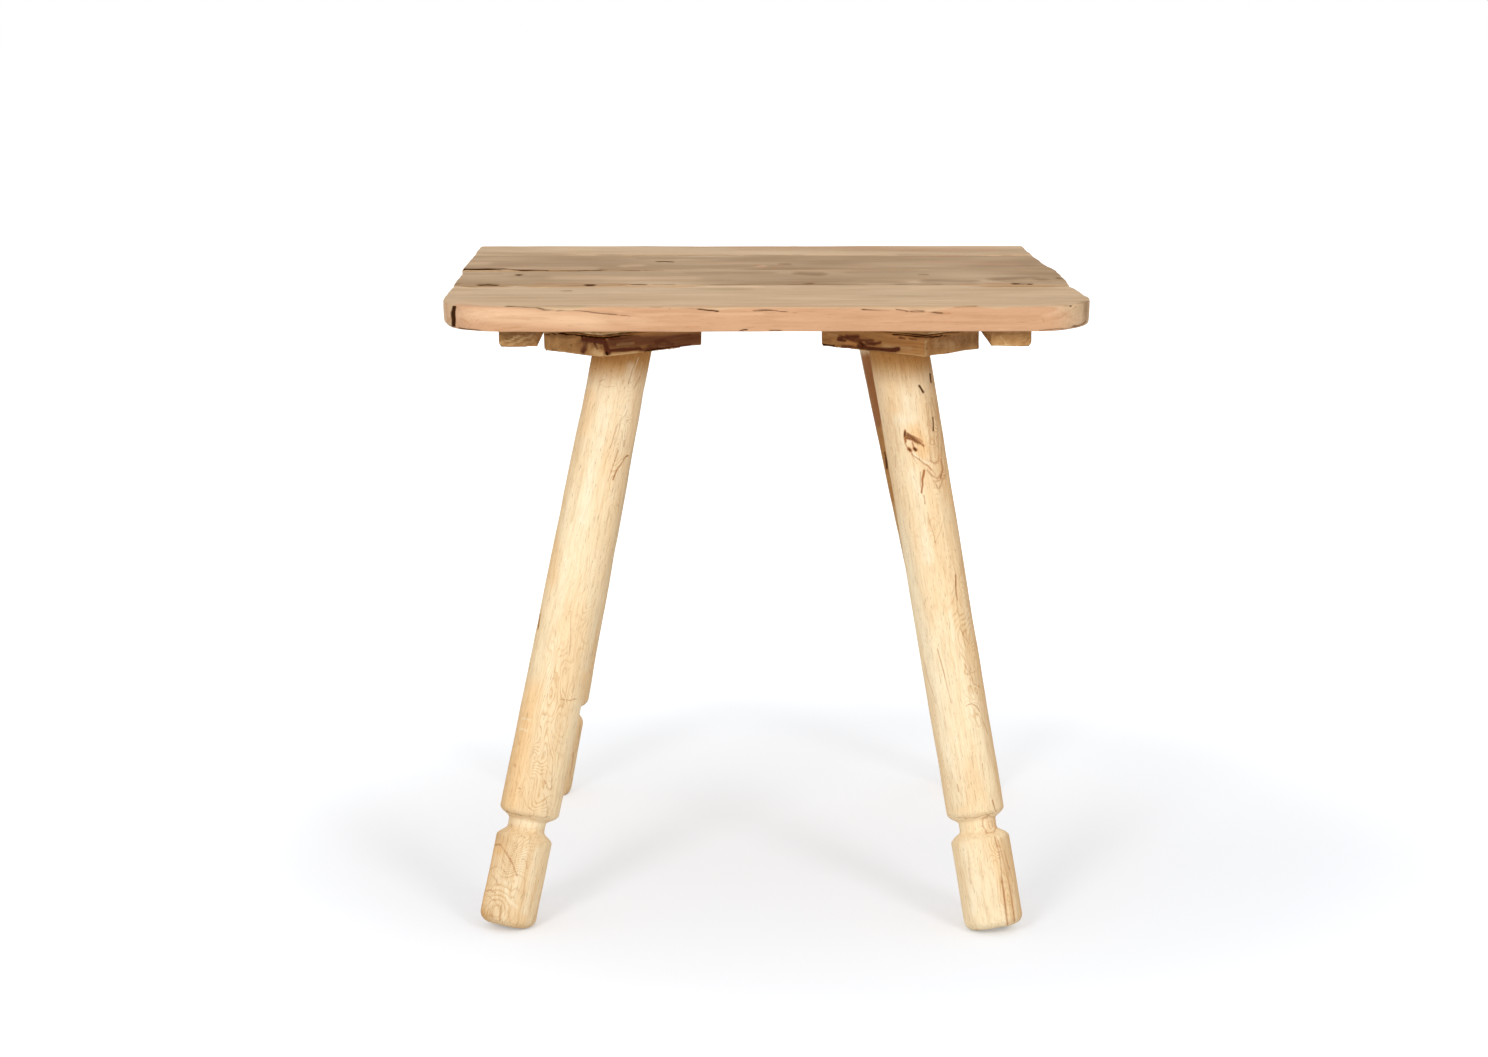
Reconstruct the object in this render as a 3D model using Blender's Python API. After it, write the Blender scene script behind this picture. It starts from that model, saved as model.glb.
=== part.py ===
"""Rustic side table in metres, +Z up, with its front towards -Y.

Four planks lie side by side on two battens. A leg block set across each corner holds a splayed
round leg with one turned groove. The origin is on the floor, under the middle of the top.
"""
import math

import bmesh
import bpy
from mathutils import Matrix, Vector

# Overall
height = 0.610
top_width = 0.616

# Planks, which run from left to right and together make the depth, and how far their sawn ends wander
plank_thickness = 0.0233
front_plank_width = 0.1947
middle_plank_width = 0.1535
rear_plank_width = 0.1586
rear_strip_width = 0.1092
end_wander = 0.009
plank_arris = 0.0018
front_corner_reach = 0.058
front_corner_reach_right = 0.070
rear_corner_reach = 0.005

# Battens, which run from front to back under the planks
batten_width = 0.035
batten_thickness = 0.0175
batten_side_inset = 0.060
batten_end_inset = 0.033
batten_round = 0.005
batten_arris = 0.001

# Leg blocks, each of a thick board under a thinner pad
block_length = 0.1335
block_width = 0.084
block_thickness = 0.0205
pad_thickness = 0.014
block_arris = 0.0022
pad_arris = 0.001
block_depth_inset = 0.1645
block_to_batten_gap = 0.0008

# Legs, measured along their own axes from the foot
leg_diameter = 0.057
foot_arris = 0.010
foot_wear = 0.003
groove_middle = 0.100
groove_width = 0.0255
groove_neck_length = 0.010
groove_neck_diameter = 0.0365
shoulder_arris = 0.0028
tenon_diameter = 0.038
tenon_end_gap = 0.001

# Countersunk screws
screw_shank_radius = 0.0022
screw_head_radius = 0.0042
screw_head_depth = 0.0030
screw_tip_length = 0.005
screw_sink = 0.0005
screw_bite = 0.015
block_screw_inset = 0.016

# Clearances and the overrun of cuts
fit_gap = 0.0003
overrun = 0.010
merge_distance = 0.00001

leg_sides = 24
shaft_stations = 6
screw_sides = 10
corner_steps = 5

# Out-of-round of the peeled legs: how much as shares of the radius, how many flats, and how far they drift
oval_share = 0.012
flat_share = 0.007
flat_count = 3
flat_drift = 5

# Each corner's sides in X and Y
corners = {"front_left": (-1, -1), "front_right": (1, -1), "rear_left": (-1, 1), "rear_right": (1, 1)}

# How far each block is turned from 45 degrees, and where the grain of each leg faces
block_turn_degrees = {"front_left": 0.5, "front_right": 2.0, "rear_left": -1.5, "rear_right": 1.0}
grain_turn_degrees = {"front_left": 23, "front_right": 109, "rear_left": 178, "rear_right": 264}

# How far each block stands in from its batten, as a share of its width
block_inset_share = {"front_left": 0, "front_right": 0, "rear_left": 0, "rear_right": 0.06}

# Each foot's place, as shares of the half width and half depth of the top
foot_place_shares = {
    "front_left": (0.811, 0.868),
    "front_right": (0.731, 0.910),
    "rear_left": (0.772, 0.727),
    "rear_right": (0.814, 0.771),
}

# Each leg's diameter at the block, above the groove and at the foot, as shares of leg_diameter
leg_girth_shares = {
    "front_left": (0.990, 1.055, 1.015),
    "front_right": (1.050, 0.955, 0.960),
    "rear_left": (0.985, 1.010, 0.970),
    "rear_right": (1.000, 1.010, 0.970),
}

# Each groove's height up the leg, as a share of groove_middle
groove_place_share = {"front_left": 0.99, "front_right": 1.00, "rear_left": 1.04, "rear_right": 1.00}

# Each plank end, from front to back: place as a share of the plank's width, and how far the wood falls
# short of the full width as a share of end_wander
left_end_shares = {
    "front_plank": ((0.42, 0.60), (0.66, 0.52), (0.84, 0.58), (0.97, 0.62)),
    "middle_plank": ((0.03, 0.55), (0.30, 0.42), (0.56, 0.46), (0.80, 0.40), (0.97, 0.34)),
    "rear_plank": ((0.03, 0.10), (0.30, 0.04), (0.55, 0.10), (0.97, 0.16)),
    "rear_strip": ((0.03, 0.12), (0.60, 0.00)),
}
right_end_shares = {
    "front_plank": ((0.42, 0.00), (0.55, 0.16), (0.80, 0.28), (0.97, 0.46)),
    "middle_plank": ((0.03, 0.36), (0.30, 0.22), (0.60, 0.14), (0.97, 0.08)),
    "rear_plank": ((0.03, 0.12), (0.25, 0.52), (0.45, 0.72), (0.97, 0.80)),
    "rear_strip": ((0.03, 0.86), (0.60, 0.92)),
}
front_end_left_share = 0.80
front_end_right_share = 0.10

# Levels, from the top down
plank_underside = height - plank_thickness
seat_level = plank_underside - fit_gap
pad_underside = seat_level - pad_thickness
block_top = pad_underside - fit_gap
block_underside = block_top - block_thickness
leg_shoulder = block_underside - fit_gap

# Edges of the planks, from front to back
plank_names = ("front_plank", "middle_plank", "rear_plank", "rear_strip")
plank_widths = (front_plank_width, middle_plank_width, rear_plank_width, rear_strip_width)
top_depth = sum(plank_widths)
plank_edges = [sum(plank_widths[:number]) - top_depth / 2 for number in range(len(plank_widths) + 1)]

# Screws, as long as what they go through and their bite in the planks
batten_screw_length = batten_thickness + fit_gap - screw_sink + screw_bite
block_screw_length = plank_underside - block_underside - screw_sink + screw_bite


def clear_scene():
    """Empties the scene that the script runs in."""
    for thing in list(bpy.data.objects):
        bpy.data.objects.remove(thing, do_unlink=True)


def wood(name, colour, roughness):
    """A Principled material of one colour."""
    material = bpy.data.materials.new(name)
    material.use_nodes = True
    shader = material.node_tree.nodes["Principled BSDF"]
    shader.inputs["Base Color"].default_value = (*colour, 1)
    shader.inputs["Roughness"].default_value = roughness
    return material


def add_object(name, bm, material=None, location=(0, 0, 0), turn=0.0):
    """Puts a bmesh into a new object, smooth on round sides and sharp on arrises."""
    bmesh.ops.recalc_face_normals(bm, faces=bm.faces)
    mesh = bpy.data.meshes.new(name)
    bm.to_mesh(mesh)
    bm.free()
    if material:
        mesh.materials.append(material)
    mesh.shade_smooth()
    mesh.set_sharp_from_angle(angle=math.radians(35))
    thing = bpy.data.objects.new(name, mesh)
    thing.location = location
    thing.rotation_euler.z = turn
    bpy.context.collection.objects.link(thing)
    return thing


def make_cutter(thing):
    """Marks an object as a cutter, which is no part of the table."""
    thing.hide_render = True
    thing.display_type = "WIRE"
    return thing


def extrude(outline, along):
    """A closed prism from a flat outline of points, carried along a vector."""
    bm = bmesh.new()
    face = bm.faces.new([bm.verts.new(point) for point in outline])
    swept = bmesh.ops.extrude_face_region(bm, geom=[face])
    moved = [item for item in swept["geom"] if isinstance(item, bmesh.types.BMVert)]
    bmesh.ops.translate(bm, vec=along, verts=moved)
    return bm


def turned(profile, sides):
    """A solid of revolution about Z. The profile of (radius, height) starts and ends on the axis."""
    bm = bmesh.new()
    points = [bm.verts.new((radius, 0, level)) for radius, level in profile]
    lines = [bm.edges.new(pair) for pair in zip(points, points[1:])]
    bmesh.ops.spin(bm, geom=points + lines, axis=(0, 0, 1), cent=(0, 0, 0),
                   angle=math.tau, steps=sides, use_duplicate=False)
    bmesh.ops.remove_doubles(bm, verts=bm.verts, dist=merge_distance)
    return bm


def ease(thing, width, segments=1):
    """Rounds the arrises of an object."""
    modifier = thing.modifiers.new("Eased arrises", "BEVEL")
    modifier.width = width
    modifier.segments = segments
    modifier.limit_method = "ANGLE"
    modifier.angle_limit = math.radians(35)


def cut(thing, cutter, operation="DIFFERENCE"):
    """Cuts a hole in an object, or joins a piece to it."""
    modifier = thing.modifiers.new(cutter.name, "BOOLEAN")
    modifier.operation = operation
    modifier.object = cutter


def quarter(centre, reach_x, reach_y, start):
    """Points of a quarter ellipse about a centre, turning left from a start angle in degrees."""
    angles = [math.radians(start + 90 * step / corner_steps) for step in range(corner_steps + 1)]
    return [(centre[0] + reach_x * math.cos(angle), centre[1] + reach_y * math.sin(angle)) for angle in angles]


def plank_outline(name, front, back):
    """A plank's outline seen from above, turning left from its left front corner."""
    width = back - front
    half = top_width / 2
    left = [(-half + wander * end_wander, front + place * width) for place, wander in left_end_shares[name]]
    right = [(half - wander * end_wander, front + place * width) for place, wander in right_end_shares[name]]
    if name == "front_plank":
        left_x = -half + front_end_left_share * end_wander
        right_x = half - front_end_right_share * end_wander
        front_edge = quarter((left_x + front_corner_reach, front + front_corner_reach),
                             front_corner_reach, front_corner_reach, 180)
        front_edge += quarter((right_x - front_corner_reach, front + front_corner_reach_right),
                              front_corner_reach, front_corner_reach_right, 270)
    else:
        front_edge = [(left[0][0], front), (right[0][0], front)]
    if name == "rear_strip":
        corner = (right[-1][0] - rear_corner_reach, back - rear_corner_reach)
        back_edge = quarter(corner, rear_corner_reach, rear_corner_reach, 0)
        corner = (left[-1][0] + rear_corner_reach, back - rear_corner_reach)
        back_edge += quarter(corner, rear_corner_reach, rear_corner_reach, 90)
    else:
        back_edge = [(right[-1][0], back), (left[-1][0], back)]
    return front_edge + right + back_edge + left[::-1]


def make_planks(material, hole_sets):
    """The boards of the top, with a fine gap at each seam."""
    for name, front, back in zip(plank_names, plank_edges, plank_edges[1:]):
        near = front if name == plank_names[0] else front + fit_gap / 2
        far = back if name == plank_names[-1] else back - fit_gap / 2
        outline = [(x, y, plank_underside) for x, y in plank_outline(name, near, far)]
        plank = add_object(name, extrude(outline, (0, 0, plank_thickness)), material)
        ease(plank, plank_arris, 2)
        for holes in hole_sets:
            cut(plank, holes)


def batten_inner_x():
    """How far from the middle the battens' inner faces lie."""
    return top_width / 2 - batten_side_inset - batten_width


def make_battens(material, holes):
    """Two boards under the planks, rounded along their lower outer arris."""
    length = top_depth - 2 * batten_end_inset
    for name, side in (("left_batten", -1), ("right_batten", 1)):
        inner = batten_inner_x()
        outer = inner + batten_width
        low = seat_level - batten_thickness
        rounded = quarter((outer - batten_round, low + batten_round), batten_round, batten_round, 270)
        section = [(inner, seat_level), (inner, low)] + rounded + [(outer, seat_level)]
        outline = [(side * x, -length / 2, z) for x, z in section]
        batten = add_object(name, extrude(outline, (0, length, 0)), material)
        ease(batten, batten_arris)
        cut(batten, holes)


def block_turn(corner):
    """The angle of a block's long side from +X."""
    side_x, side_y = corners[corner]
    return math.radians(45 * side_x * side_y + block_turn_degrees[corner])


def block_centre(corner):
    """The middle of a block in plan, with its outer corner beside the batten."""
    side_x, side_y = corners[corner]
    turn = block_turn(corner)
    reach = (abs(block_length * math.cos(turn)) + abs(block_width * math.sin(turn))) / 2
    inset = block_to_batten_gap + block_inset_share[corner] * block_width
    return (side_x * (batten_inner_x() - inset - reach), side_y * (top_depth / 2 - block_depth_inset))


def leg_line(corner):
    """A leg's axis: where it meets the floor, and the direction in which it rises."""
    side_x, side_y = corners[corner]
    share_x, share_y = foot_place_shares[corner]
    foot = Vector((side_x * share_x * top_width / 2, side_y * share_y * top_depth / 2, 0))
    head = Vector((*block_centre(corner), block_underside))
    return foot, (head - foot).normalized()


def leg_matrix(corner):
    """Takes a leg turned about Z, with its foot at zero, to its place, with a worn flat on the floor."""
    foot, rise = leg_line(corner)
    tilt = rise.angle(Vector((0, 0, 1)))
    foot_radius = leg_diameter / 2 * leg_girth_shares[corner][2]
    inner_arris = (foot_radius - foot_arris) * math.sin(tilt)
    lift = foot_arris * (1 - math.cos(tilt)) + inner_arris - foot_wear
    start = foot + rise * (lift / rise.z)
    return Matrix.Translation(start) @ rise.to_track_quat("Z", "Y").to_matrix().to_4x4()


def leg_profile(corner, length):
    """Radius and height of the turned leg: rounded foot, groove and a shaft that tapers."""
    head_radius, low_radius, foot_radius = [leg_diameter / 2 * share for share in leg_girth_shares[corner]]
    neck_radius = groove_neck_diameter / 2
    middle = groove_middle * groove_place_share[corner]
    bottom = middle - groove_width / 2
    top = middle + groove_width / 2
    neck = groove_neck_length / 2
    profile = [(0, 0)]
    profile += quarter((foot_radius - foot_arris, foot_arris), foot_arris, foot_arris, 270)
    profile += [
        (foot_radius, bottom),
        (foot_radius - shoulder_arris, bottom + shoulder_arris),
        (neck_radius, middle - neck),
        (neck_radius, middle + neck),
        (low_radius - shoulder_arris, top - shoulder_arris),
        (low_radius, top),
    ]
    for station in range(1, shaft_stations + 1):
        share = station / shaft_stations
        profile.append((low_radius + (head_radius - low_radius) * share, top + (length - top) * share))
    return profile + [(0, length)]


def trim(bm, point, outward):
    """Takes away what lies beyond a plane and closes the cut."""
    everything = bm.verts[:] + bm.edges[:] + bm.faces[:]
    result = bmesh.ops.bisect_plane(bm, geom=everything, plane_co=point, plane_no=outward, clear_outer=True)
    rim = [item for item in result["geom_cut"] if isinstance(item, bmesh.types.BMEdge)]
    bmesh.ops.edgeloop_fill(bm, edges=rim)


def peel(bm, turn, length):
    """Makes a turned shaft slightly oval, with two shallow flats that wander along it."""
    for vert in bm.verts:
        angle = math.atan2(vert.co.y, vert.co.x) - turn
        along = vert.co.z / length
        swell = 1 + oval_share * math.cos(2 * angle) + flat_share * math.cos(flat_count * angle + flat_drift * along)
        vert.co.x *= swell
        vert.co.y *= swell


def mortise(corner, radius, name, bottom, top):
    """A round bar on a leg's axis, cut level between two heights."""
    foot, rise = leg_line(corner)
    middle = foot + rise * ((bottom + top) / 2 / rise.z)
    reach = (top - bottom) / 2 + radius + overrun
    bm = turned([(0, -reach), (radius, -reach), (radius, reach), (0, reach)], leg_sides)
    bmesh.ops.transform(bm, verts=bm.verts,
                        matrix=Matrix.Translation(middle) @ rise.to_track_quat("Z", "Y").to_matrix().to_4x4())
    trim(bm, (0, 0, bottom), (0, 0, -1))
    trim(bm, (0, 0, top), (0, 0, 1))
    return make_cutter(add_object(name, bm))


def make_leg(corner, material):
    """A splayed leg, scribed level under its block and at the floor, with a tenon on its own axis."""
    foot, rise = leg_line(corner)
    length = (block_underside - foot.z) / rise.z + leg_diameter
    bm = turned(leg_profile(corner, length), leg_sides)
    peel(bm, math.radians(grain_turn_degrees[corner]), length)
    bmesh.ops.transform(bm, verts=bm.verts, matrix=leg_matrix(corner))
    trim(bm, (0, 0, 0), (0, 0, -1))
    trim(bm, (0, 0, leg_shoulder), (0, 0, 1))
    leg = add_object(corner + "_leg", bm, material)
    tenon = mortise(corner, tenon_diameter / 2, corner + "_tenon", leg_shoulder - overrun, seat_level - tenon_end_gap)
    cut(leg, tenon, "UNION")


def make_block(corner, material, pad_material, holes):
    """A leg block and the pad above it, with a mortise that follows the leg's angle."""
    hole = mortise(corner, tenon_diameter / 2 + fit_gap, corner + "_mortise",
                   block_underside - overrun, seat_level + fit_gap / 2)
    half_length = block_length / 2
    half_width = block_width / 2
    plan = [(-half_length, -half_width), (half_length, -half_width),
            (half_length, half_width), (-half_length, half_width)]
    boards = (
        ("_leg_block", block_underside, block_thickness, block_arris, material),
        ("_leg_pad", pad_underside, pad_thickness, pad_arris, pad_material),
    )
    for suffix, level, thickness, arris, board_material in boards:
        bm = extrude([(x, y, 0) for x, y in plan], (0, 0, thickness))
        location = (*block_centre(corner), level)
        board = add_object(corner + suffix, bm, board_material, location, block_turn(corner))
        ease(board, arris, 2)
        cut(board, hole)
        cut(board, holes)


def screw_profile(length, grow, start):
    """A countersunk screw's profile with its head down, or with some growth, the hole that it needs."""
    shank = screw_shank_radius + grow
    head = screw_head_radius + grow
    profile = [(0, start), (head, start)]
    if grow:
        profile.append((head, 0))
    return profile + [(shank, screw_head_depth), (shank, length - screw_tip_length), (0, length + grow)]


def screw(place, length, grow=0):
    """An upright screw with its head just under a given place, or the solid that cuts its hole."""
    start = -(screw_sink + overrun) if grow else 0
    bm = turned(screw_profile(length, grow, start), screw_sides)
    bmesh.ops.translate(bm, verts=bm.verts, vec=Vector(place) + Vector((0, 0, screw_sink)))
    return bm


def hole_cutter(name, places, length):
    """One cutter for the holes of a set of screws."""
    group = bmesh.new()
    for place in places:
        one = screw(place, length, fit_gap)
        piece = bpy.data.meshes.new(name)
        one.to_mesh(piece)
        one.free()
        group.from_mesh(piece)
        bpy.data.meshes.remove(piece)
    return make_cutter(add_object(name, group))


def make_screws(places, length, material):
    """Each screw of a set as its own piece."""
    for name, place in places.items():
        add_object(name, screw(place, length), material)


def batten_screw_places():
    """One screw through each batten into the middle of each plank."""
    low = seat_level - batten_thickness
    middle = batten_inner_x() + batten_width / 2
    reach = top_depth / 2 - batten_end_inset - 2 * screw_head_radius
    places = {}
    for batten, side in (("left_batten", -1), ("right_batten", 1)):
        for number, (front, back) in enumerate(zip(plank_edges, plank_edges[1:]), 1):
            row = max(-reach, min(reach, (front + back) / 2))
            places[f"{batten}_screw_{number}"] = (side * middle, row, low)
    return places


def block_screw_places():
    """Four screws through each block and its pad, one near each corner."""
    reach_x = block_length / 2 - block_screw_inset
    reach_y = block_width / 2 - block_screw_inset
    places = {}
    for corner in corners:
        x, y = block_centre(corner)
        spot = Matrix.Translation((x, y, block_underside)) @ Matrix.Rotation(block_turn(corner), 4, "Z")
        offsets = [(side_x * reach_x, side_y * reach_y, 0) for side_x in (-1, 1) for side_y in (-1, 1)]
        for number, offset in enumerate(offsets, 1):
            places[f"{corner}_block_screw_{number}"] = spot @ Vector(offset)
    return places


def build():
    """Makes every piece of the table."""
    clear_scene()
    plank_wood = wood("plank_wood", (0.56, 0.40, 0.26), 0.6)
    batten_wood = wood("batten_wood", (0.37, 0.21, 0.08), 0.65)
    block_wood = wood("block_wood", (0.31, 0.16, 0.06), 0.65)
    leg_wood = wood("leg_wood", (0.90, 0.70, 0.42), 0.55)
    steel = wood("screw_steel", (0.45, 0.44, 0.42), 0.35)
    steel.node_tree.nodes["Principled BSDF"].inputs["Metallic"].default_value = 1

    batten_places = batten_screw_places()
    block_places = block_screw_places()
    batten_holes = hole_cutter("batten_screw_holes", batten_places.values(), batten_screw_length)
    block_holes = hole_cutter("block_screw_holes", block_places.values(), block_screw_length)
    make_screws(batten_places, batten_screw_length, steel)
    make_screws(block_places, block_screw_length, steel)

    make_planks(plank_wood, (batten_holes, block_holes))
    make_battens(batten_wood, batten_holes)
    for corner in corners:
        make_block(corner, block_wood, plank_wood, block_holes)
        make_leg(corner, leg_wood)


build()
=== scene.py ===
# %% [markdown]
# # A rustic side table
# Four reclaimed planks lie on two battens, and four peeled, splayed legs go up into blocks under the
# corners. The solids of the table are already packed as a frame, so this lesson only dresses them: it puts
# a finely modelled piece of wood in the place of each plain solid and gives each kind of wood its finish.
# Every shape here is a formula on a grid of points, worked out as whole arrays.

# %% Load the frame and keep its box
import math

import bpy
import numpy as np
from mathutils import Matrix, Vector


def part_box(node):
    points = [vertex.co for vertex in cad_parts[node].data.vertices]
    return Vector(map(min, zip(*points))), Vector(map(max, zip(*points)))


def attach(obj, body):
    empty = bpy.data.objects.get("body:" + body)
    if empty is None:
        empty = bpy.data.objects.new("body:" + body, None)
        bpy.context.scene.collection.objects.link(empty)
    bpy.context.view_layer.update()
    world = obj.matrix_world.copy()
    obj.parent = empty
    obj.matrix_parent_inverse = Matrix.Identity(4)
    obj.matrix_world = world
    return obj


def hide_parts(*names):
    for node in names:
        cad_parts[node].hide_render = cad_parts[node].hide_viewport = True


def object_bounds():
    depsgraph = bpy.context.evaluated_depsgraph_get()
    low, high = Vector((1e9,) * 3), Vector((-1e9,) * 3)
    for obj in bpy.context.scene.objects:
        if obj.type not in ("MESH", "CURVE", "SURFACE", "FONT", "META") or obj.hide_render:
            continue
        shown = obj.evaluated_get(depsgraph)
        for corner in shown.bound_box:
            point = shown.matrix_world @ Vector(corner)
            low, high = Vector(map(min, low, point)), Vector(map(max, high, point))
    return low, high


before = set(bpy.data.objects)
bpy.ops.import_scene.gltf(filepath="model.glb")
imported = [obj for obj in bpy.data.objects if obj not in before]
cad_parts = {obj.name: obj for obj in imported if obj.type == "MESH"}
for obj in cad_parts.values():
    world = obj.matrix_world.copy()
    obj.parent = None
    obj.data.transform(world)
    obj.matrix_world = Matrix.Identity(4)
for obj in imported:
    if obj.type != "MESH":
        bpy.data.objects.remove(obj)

cad_box = [list(corner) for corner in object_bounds()]
print("the solids fill", [round(high - low, 4) for low, high in zip(*cad_box)], "metres")

# %% [markdown]
# ## The camera
# A camera can be placed by eye, or by solving for it from points whose real places are known. Here the
# outline of the top, the corner blocks and the four feet gave the lens and the place. It looks down by
# about ten degrees, so the top shows as a thin band and the legs show nearly at their full height.
# The function `seen_at` turns a point in metres into the pixel where this camera sees it. Marks such as
# knots and cracks can then be drawn at their places in the picture, and still belong to the wood.

# %% Place the camera
picture_width, picture_height = 1488, 1057
focal_px = 3036.73
camera_pitch = math.radians(10.5535)
camera_yaw = math.radians(0.5668)
camera_across, camera_away, camera_height = -0.0156, 3.1031, 0.9225
sensor_mm = 36

camera_place = np.array([
    camera_across * math.cos(camera_yaw) - camera_away * math.sin(camera_yaw),
    -camera_across * math.sin(camera_yaw) - camera_away * math.cos(camera_yaw),
    camera_height,
])
camera_data = bpy.data.cameras.new("camera")
camera_data.sensor_width = sensor_mm
camera_data.lens = sensor_mm * focal_px / picture_width
camera = bpy.data.objects.new("camera", camera_data)
camera.location = camera_place
camera.rotation_euler = (math.pi / 2 - camera_pitch, 0, -camera_yaw)
bpy.context.scene.collection.objects.link(camera)
bpy.context.scene.camera = camera
camera_turn = np.array(camera.rotation_euler.to_matrix())


def seen_at(points):
    """The pixel at which the camera sees each point: across and down, divided by how far away it is."""
    across, up, behind = np.moveaxis((points - camera_place) @ camera_turn, -1, 0)
    right = picture_width / 2 - focal_px * across / behind
    down = picture_height / 2 + focal_px * up / behind
    return np.stack([right, down], -1)


print("the middle of the table's top is seen at", seen_at(np.array([0, 0, cad_box[1][2]])).round(1))

# %% [markdown]
# ## Two tools for natural shapes
# Nothing on old wood is straight. `waves` adds up sine waves of seeded directions into smooth, uneven
# noise, which can wander along an edge or dent a face. `nearness` measures how near each point lies to a
# drawn line, so a crack or a stain is a short list of points with a width.

# %% Noise and drawn lines
tiny = 1e-12


def waves(points, size, seed, count=16):
    """Smooth noise: sine waves of about one size, in seeded directions and phases, added and evened out."""
    rng = np.random.default_rng(seed)
    directions = rng.normal(size=(count, points.shape[-1]))
    directions /= np.linalg.norm(directions, axis=1, keepdims=True)
    lengths = size * rng.uniform(0.6, 1.6, count)
    phases = rng.uniform(0, math.tau, count)
    turns = points @ (directions / lengths[:, None]).T * math.tau + phases
    return np.sin(turns).sum(-1) * math.sqrt(2 / count)


def nearness(places, line, width, squeeze):
    """How close each place lies to a drawn line: 1 on the line, falling like a bell over its width.

    Squeeze makes the bell so many times narrower across and down at each place.
    """
    if len(line) == 1:
        line = np.repeat(line, 2, axis=0)
    starts, steps = line[:-1], np.diff(line, axis=0)
    offset = places[:, None, :] - starts
    share = (offset * steps).sum(-1) / np.maximum((steps ** 2).sum(-1), tiny)
    gap = offset - np.clip(share, 0, 1)[..., None] * steps
    gap *= squeeze[:, None]
    return np.exp(-((gap ** 2).sum(-1).min(1) / width ** 2))


print("noise at three places:", waves(np.eye(3), 1, 0).round(2))

# %% [markdown]
# ## Turning points into pieces
# A mesh needs points and faces. `add_piece` puts both in an object at the origin, as the frame's own nodes
# are, and hides the solid that the piece stands for. Each piece of wood also carries attributes, which are
# numbers kept on its points: `grain` holds places along and across the wood, `rings` the height in the
# pattern of growth rings, and six more say where the wood is dull, warm, pale, stained, cracked or figured.
# The dull, pale, stained and cracked marks also carry painted shade, painted light and painted shadows.

# %% Make a piece
MARKS = ("shade", "warm", "pale_and_light", "stain_and_shadow", "crack_and_shadow", "figure")
FINE_MARKS = ("stain_and_shadow", "crack_and_shadow")


def add_piece(name, points, faces, material, slot, stands_for):
    """A smooth mesh object in metres at the origin, which takes the place of one CAD node."""
    mesh = bpy.data.meshes.new(name)
    mesh.from_pydata(points.tolist(), [], faces)
    mesh.shade_smooth()
    mesh.materials.append(material)
    piece = bpy.data.objects.new(name, mesh)
    bpy.context.scene.collection.objects.link(piece)
    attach(piece, "root")
    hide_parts(stands_for)
    return piece


def read_points(mesh):
    """The places and the outward directions of a mesh's points, as two arrays."""
    places = np.zeros(len(mesh.vertices) * 3)
    outward = np.zeros(len(mesh.vertices) * 3)
    mesh.vertices.foreach_get("co", places)
    mesh.vertex_normals.foreach_get("vector", outward)
    return places.reshape(-1, 3), outward.reshape(-1, 3)


def write_points(mesh, places):
    """Moves a mesh's points to new places."""
    mesh.vertices.foreach_set("co", places.ravel())
    mesh.update()


def write_number(mesh, name, values):
    """Keeps one number, or one vector, on each point of a mesh."""
    kind, key = ("FLOAT_VECTOR", "vector") if values.ndim == 2 else ("FLOAT", "value")
    attribute = mesh.attributes.new(name, kind, "POINT")
    attribute.data.foreach_set(key, values.astype(np.float32).ravel())


# %% [markdown]
# ## Marks drawn in the picture
# A painted picture of the wood could be wrapped round it, but then every other side would need one too.
# Here each knot, stain and crack is a line of points in the camera's picture. A point of the wood takes a
# mark by how near the line it is seen, so the mark is kept on the wood itself and stays there when it is
# looked at from another side.

# %% How the wood faces the camera
level_from = 0.75
upright_rise, level_rise = 4, 10


def level_share(outward):
    """1 where the wood lies level and looks up, 0 on upright sides and underneath."""
    return np.clip((outward[:, 2] - level_from) / (1 - level_from), 0, 1)


def facing(places, outward):
    """How much each point faces the camera: 0 at the outline and behind it, 1 from a few degrees on."""
    towards = camera_place - places
    towards /= np.linalg.norm(towards, axis=1, keepdims=True)
    return np.clip((towards * outward).sum(1) * (upright_rise + level_rise * level_share(outward)), 0, 1)


upward = np.array([[0, 0, 1.0]])
print("the table's top faces the camera by", facing(np.array([[0, 0, cad_box[1][2]]]), upward).round(2))

# %% Lay marks on the wood
level_squeeze = 0.4
line_wander_px = 0.3
widths_across, widths_down = 6, 3


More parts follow.
